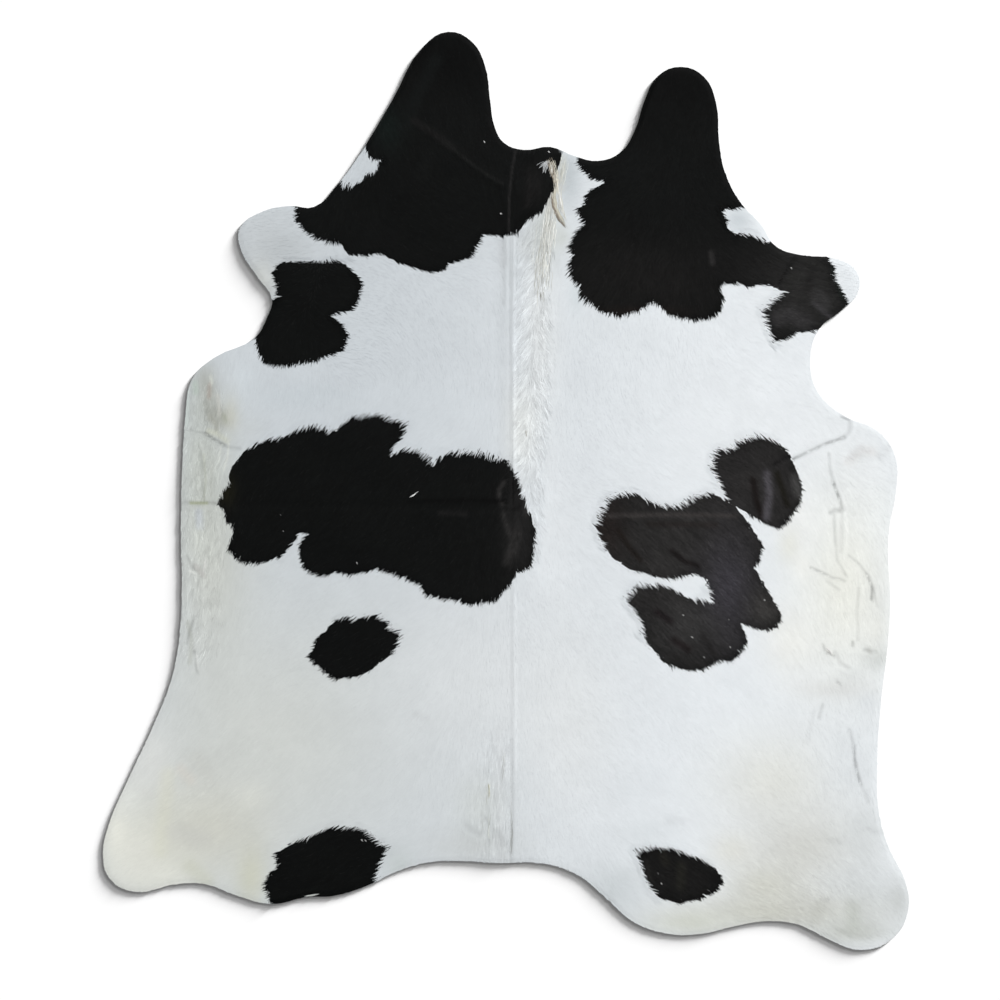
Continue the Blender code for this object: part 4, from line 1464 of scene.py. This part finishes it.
# Stray white hairs in the black: across, down, how light.
STRAYS = [
    (484, 142, 0.60), (549, 152, 0.70), (501, 214, 0.60), (791, 268, 0.60), (357, 563, 0.50),
    (730, 647, 0.50), (692, 637, 0.50), (683, 615, 0.50), (764, 600, 0.30), (661, 883, 0.60),
    (704, 657, 0.25), (729, 620, 0.20), (281, 515, 0.12), (283, 531, 0.20),
    (644, 871, 0.16), (658, 873, 0.12), (708, 890, 0.16), (362, 840, 0.45), (366, 840, 0.45),
]
print("hand-laid bundles:", len(SINGLE_LOCKS), "and stray hairs:", len(STRAYS))

# %% [markdown]
# A strand of a bundle covers only a part of the way, starts anywhere on it, and weaves a little. So the
# bundle has no clear start or end, which is how clinging hair looks.

# %% Strands along points
STRAND_JOINTS = 8
STRAND_PART = (0.4, 0.9)
STRAND_LONGEST = 0.060
STRAND_WAVE, STRAND_WAVE_LENGTH = 0.0009, 0.030
SINGLE_SPREAD = 0.20
SINGLE_WIDTH = (0.0006, 0.0012)
SINGLE_LIFT = (0.0009, 0.0018)
SINGLE_TIP = 0.8
SINGLE_ROOT_SHADE = 0.85
STRAY_STRANDS = 4
STRAY_REACH = 1
STRAY_SPREAD = 0.5


def strands_along(places, count, root_width, tip_width):
    """Strands that each cover a part of the way along points in the photo."""
    path = on_floor(places)
    steps = np.linalg.norm(np.diff(path, axis=0), axis=-1)
    mileage = np.concatenate([[0], np.cumsum(steps)]) / steps.sum()
    part = np.minimum(rng.uniform(*STRAND_PART, count), STRAND_LONGEST / steps.sum())
    start = rng.uniform(0, 1, count) * (1 - part)
    stops = start[:, None] + part[:, None] * np.linspace(0, 1, STRAND_JOINTS)
    middle = np.stack([np.interp(stops, mileage, path[:, axis]) for axis in (0, 1)], axis=-1)
    spread = (root_width + (tip_width - root_width) * stops) * PIXEL / 2
    turns = 2 * np.pi * (stops * steps.sum() / STRAND_WAVE_LENGTH + rng.uniform(0, 1, (count, 1)))
    middle[..., 0] += STRAND_WAVE * np.sin(turns)
    return middle + rng.normal(0, 1, (count, 1, 2)) * spread[..., None]


def make_single_locks():
    """All the listed bundles and the stray hairs, as one piece."""
    lines, tones = [], []
    for _, places, count, root_width, tip_width, tone in SINGLE_LOCKS:
        lines.append(strands_along(places, count, root_width, tip_width))
        tones.append(np.array(tone) * np.exp(rng.normal(0, SINGLE_SPREAD, (count, 1, 1))))
    for across, down, lightness in STRAYS:
        start = (across - STRAY_REACH, down - STRAY_REACH)
        end = (across + STRAY_REACH, down + STRAY_REACH)
        lines.append(strands_along([start, end], STRAY_STRANDS, STRAY_SPREAD, STRAY_SPREAD))
        tones.append(np.full((STRAY_STRANDS, 1, 3), lightness))
    lines, tones = np.concatenate(lines), np.concatenate(tones)
    width = rng.uniform(*SINGLE_WIDTH, len(lines))
    lift = rng.uniform(*SINGLE_LIFT, len(lines))
    return make_locks(
        "single_locks", lines, width, lift, SINGLE_TIP, tones, white_hair, SINGLE_ROOT_SHADE
    )


coat.append(make_single_locks())

# %% [markdown]
# ## Hair in the folds
#
# In a sharp crease the hair dips in and is shaded, and that thin line is what the eye reads as a crease.
# Long locks would lie across it like a bridge, so no lock reaches past a crease, and short fine ones are
# sown close to it. Their tone carries the fold's painted shade all along their length.

# %% Fine hair in the folds
CREASE_SPACING = 0.0018
CREASE_REACH = 0.012
CREASE_LENGTH = (0.005, 0.008)
CREASE_WIDTH = (0.0014, 0.0024)
CREASE_LIFT_RANGE = (0.6, 1.0)


def make_crease_hair():
    """Short fine hair close to the folds that show."""

    def wanted(x, y):
        return (read_chart(crease_room, x, y) < CREASE_REACH) & (into_black(x, y) < 0)

    roots = sow(CREASE_SPACING, wanted)
    lines = comb(roots, rng.uniform(*CREASE_LENGTH, len(roots)), COAT_SWAY, COAT_BEND, joints=4)
    width = rng.uniform(*CREASE_WIDTH, len(roots))
    lift = LOCK_LIFT * rng.uniform(*CREASE_LIFT_RANGE, len(roots))
    tones = tones_along(lines, white_tones, CALM_SPREAD)
    return make_locks("crease_hair", lines, width, lift, COAT_TIP, tones, white_hair)


coat.append(make_crease_hair())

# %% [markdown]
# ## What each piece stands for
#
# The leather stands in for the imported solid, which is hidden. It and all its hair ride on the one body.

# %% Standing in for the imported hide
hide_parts("hide")
for piece in (leather, *coat):
    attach(piece, "root")
print("pieces of the sheet:", 1 + len(coat))

# %% [markdown]
# ## Floor, sky and lights
#
# The floor is plain white, and so large that it fills the low views too. It lies a little lower than
# the leather's own underside, so that the two don't flicker through each other. An even sky gives a
# little light from everywhere.

# %% Floor and sky
FLOOR_DROP = 0.0003
FLOOR_SIZE = 200.0
FLOOR_WHITE = 0.93
SKY = 0.20

bpy.ops.mesh.primitive_plane_add(size=FLOOR_SIZE, location=(0.0, 0.0, -FLOOR_DROP))
floor = bpy.context.object
floor.name = "floor"
floor_finish = Finish("floor", roughness=0.9, specular=0.1)
floor_finish.surface.inputs["Base Color"].default_value = (FLOOR_WHITE, FLOOR_WHITE, FLOOR_WHITE, 1.0)
floor.data.materials.append(floor_finish.material)

world = bpy.data.worlds.new("studio")
world.use_nodes = True
world.node_tree.nodes["Background"].inputs["Color"].default_value = (1.0, 1.0, 1.0, 1.0)
world.node_tree.nodes["Background"].inputs["Strength"].default_value = SKY
bpy.context.scene.world = world
bpy.context.scene.view_settings.view_transform = "Standard"
print("floor, metres:", FLOOR_SIZE, "and sky:", SKY)

# %% [markdown]
# The hide has its own soft key light from the upper right. Two lower suns reach only the floor, and give
# the soft band of shade along the hide's left and lower edges.

# %% Suns
# Name, height in degrees, degrees clockwise from the neck, share of full light, softness in degrees, and
# what it lights.
SUNS = [
    ("key", 58, 40, 0.82, 35, [leather, *coat]),
    ("floor_key", 6.7, 46, 0.68, 8, [floor]),
    ("floor_fill", 16, 46, 0.22, 20, [floor]),
]


def add_sun(name, elevation, azimuth, share, softness, lit):
    """A sun for the lit objects alone, which gives a level surface a share of full light."""
    sun = bpy.data.lights.new(name, "SUN")
    sun.energy = share * math.pi / math.sin(math.radians(elevation))
    sun.angle = math.radians(softness)
    lamp = bpy.data.objects.new(name, sun)
    lamp.rotation_euler = (math.radians(90 - elevation), 0.0, math.radians(180 - azimuth))
    bpy.context.scene.collection.objects.link(lamp)
    receivers = bpy.data.collections.new(name + "_lights")
    for thing in lit:
        receivers.objects.link(thing)
    lamp.light_linking.receiver_collection = receivers


for row in SUNS:
    add_sun(*row)
print("suns:", len(SUNS))

# %% [markdown]
# ## Camera
#
# The camera hangs straight over the hide, far enough away that no side shows. Its lens is as long as it
# takes for the picture to span the same stretch of floor as the photograph.

# %% The camera
CAMERA_HEIGHT = 6.0
SENSOR = 36.0

lens = bpy.data.cameras.new("camera")
lens.sensor_width = SENSOR
lens.lens = SENSOR * CAMERA_HEIGHT / (PHOTO_SIZE * PIXEL)
camera = bpy.data.objects.new("camera", lens)
middle = on_floor((PHOTO_SIZE / 2, PHOTO_SIZE / 2))
camera.location = (middle[0], middle[1], CAMERA_HEIGHT)
bpy.context.scene.collection.objects.link(camera)
bpy.context.scene.camera = camera
print("camera lens:", round(lens.lens, 1), "mm")
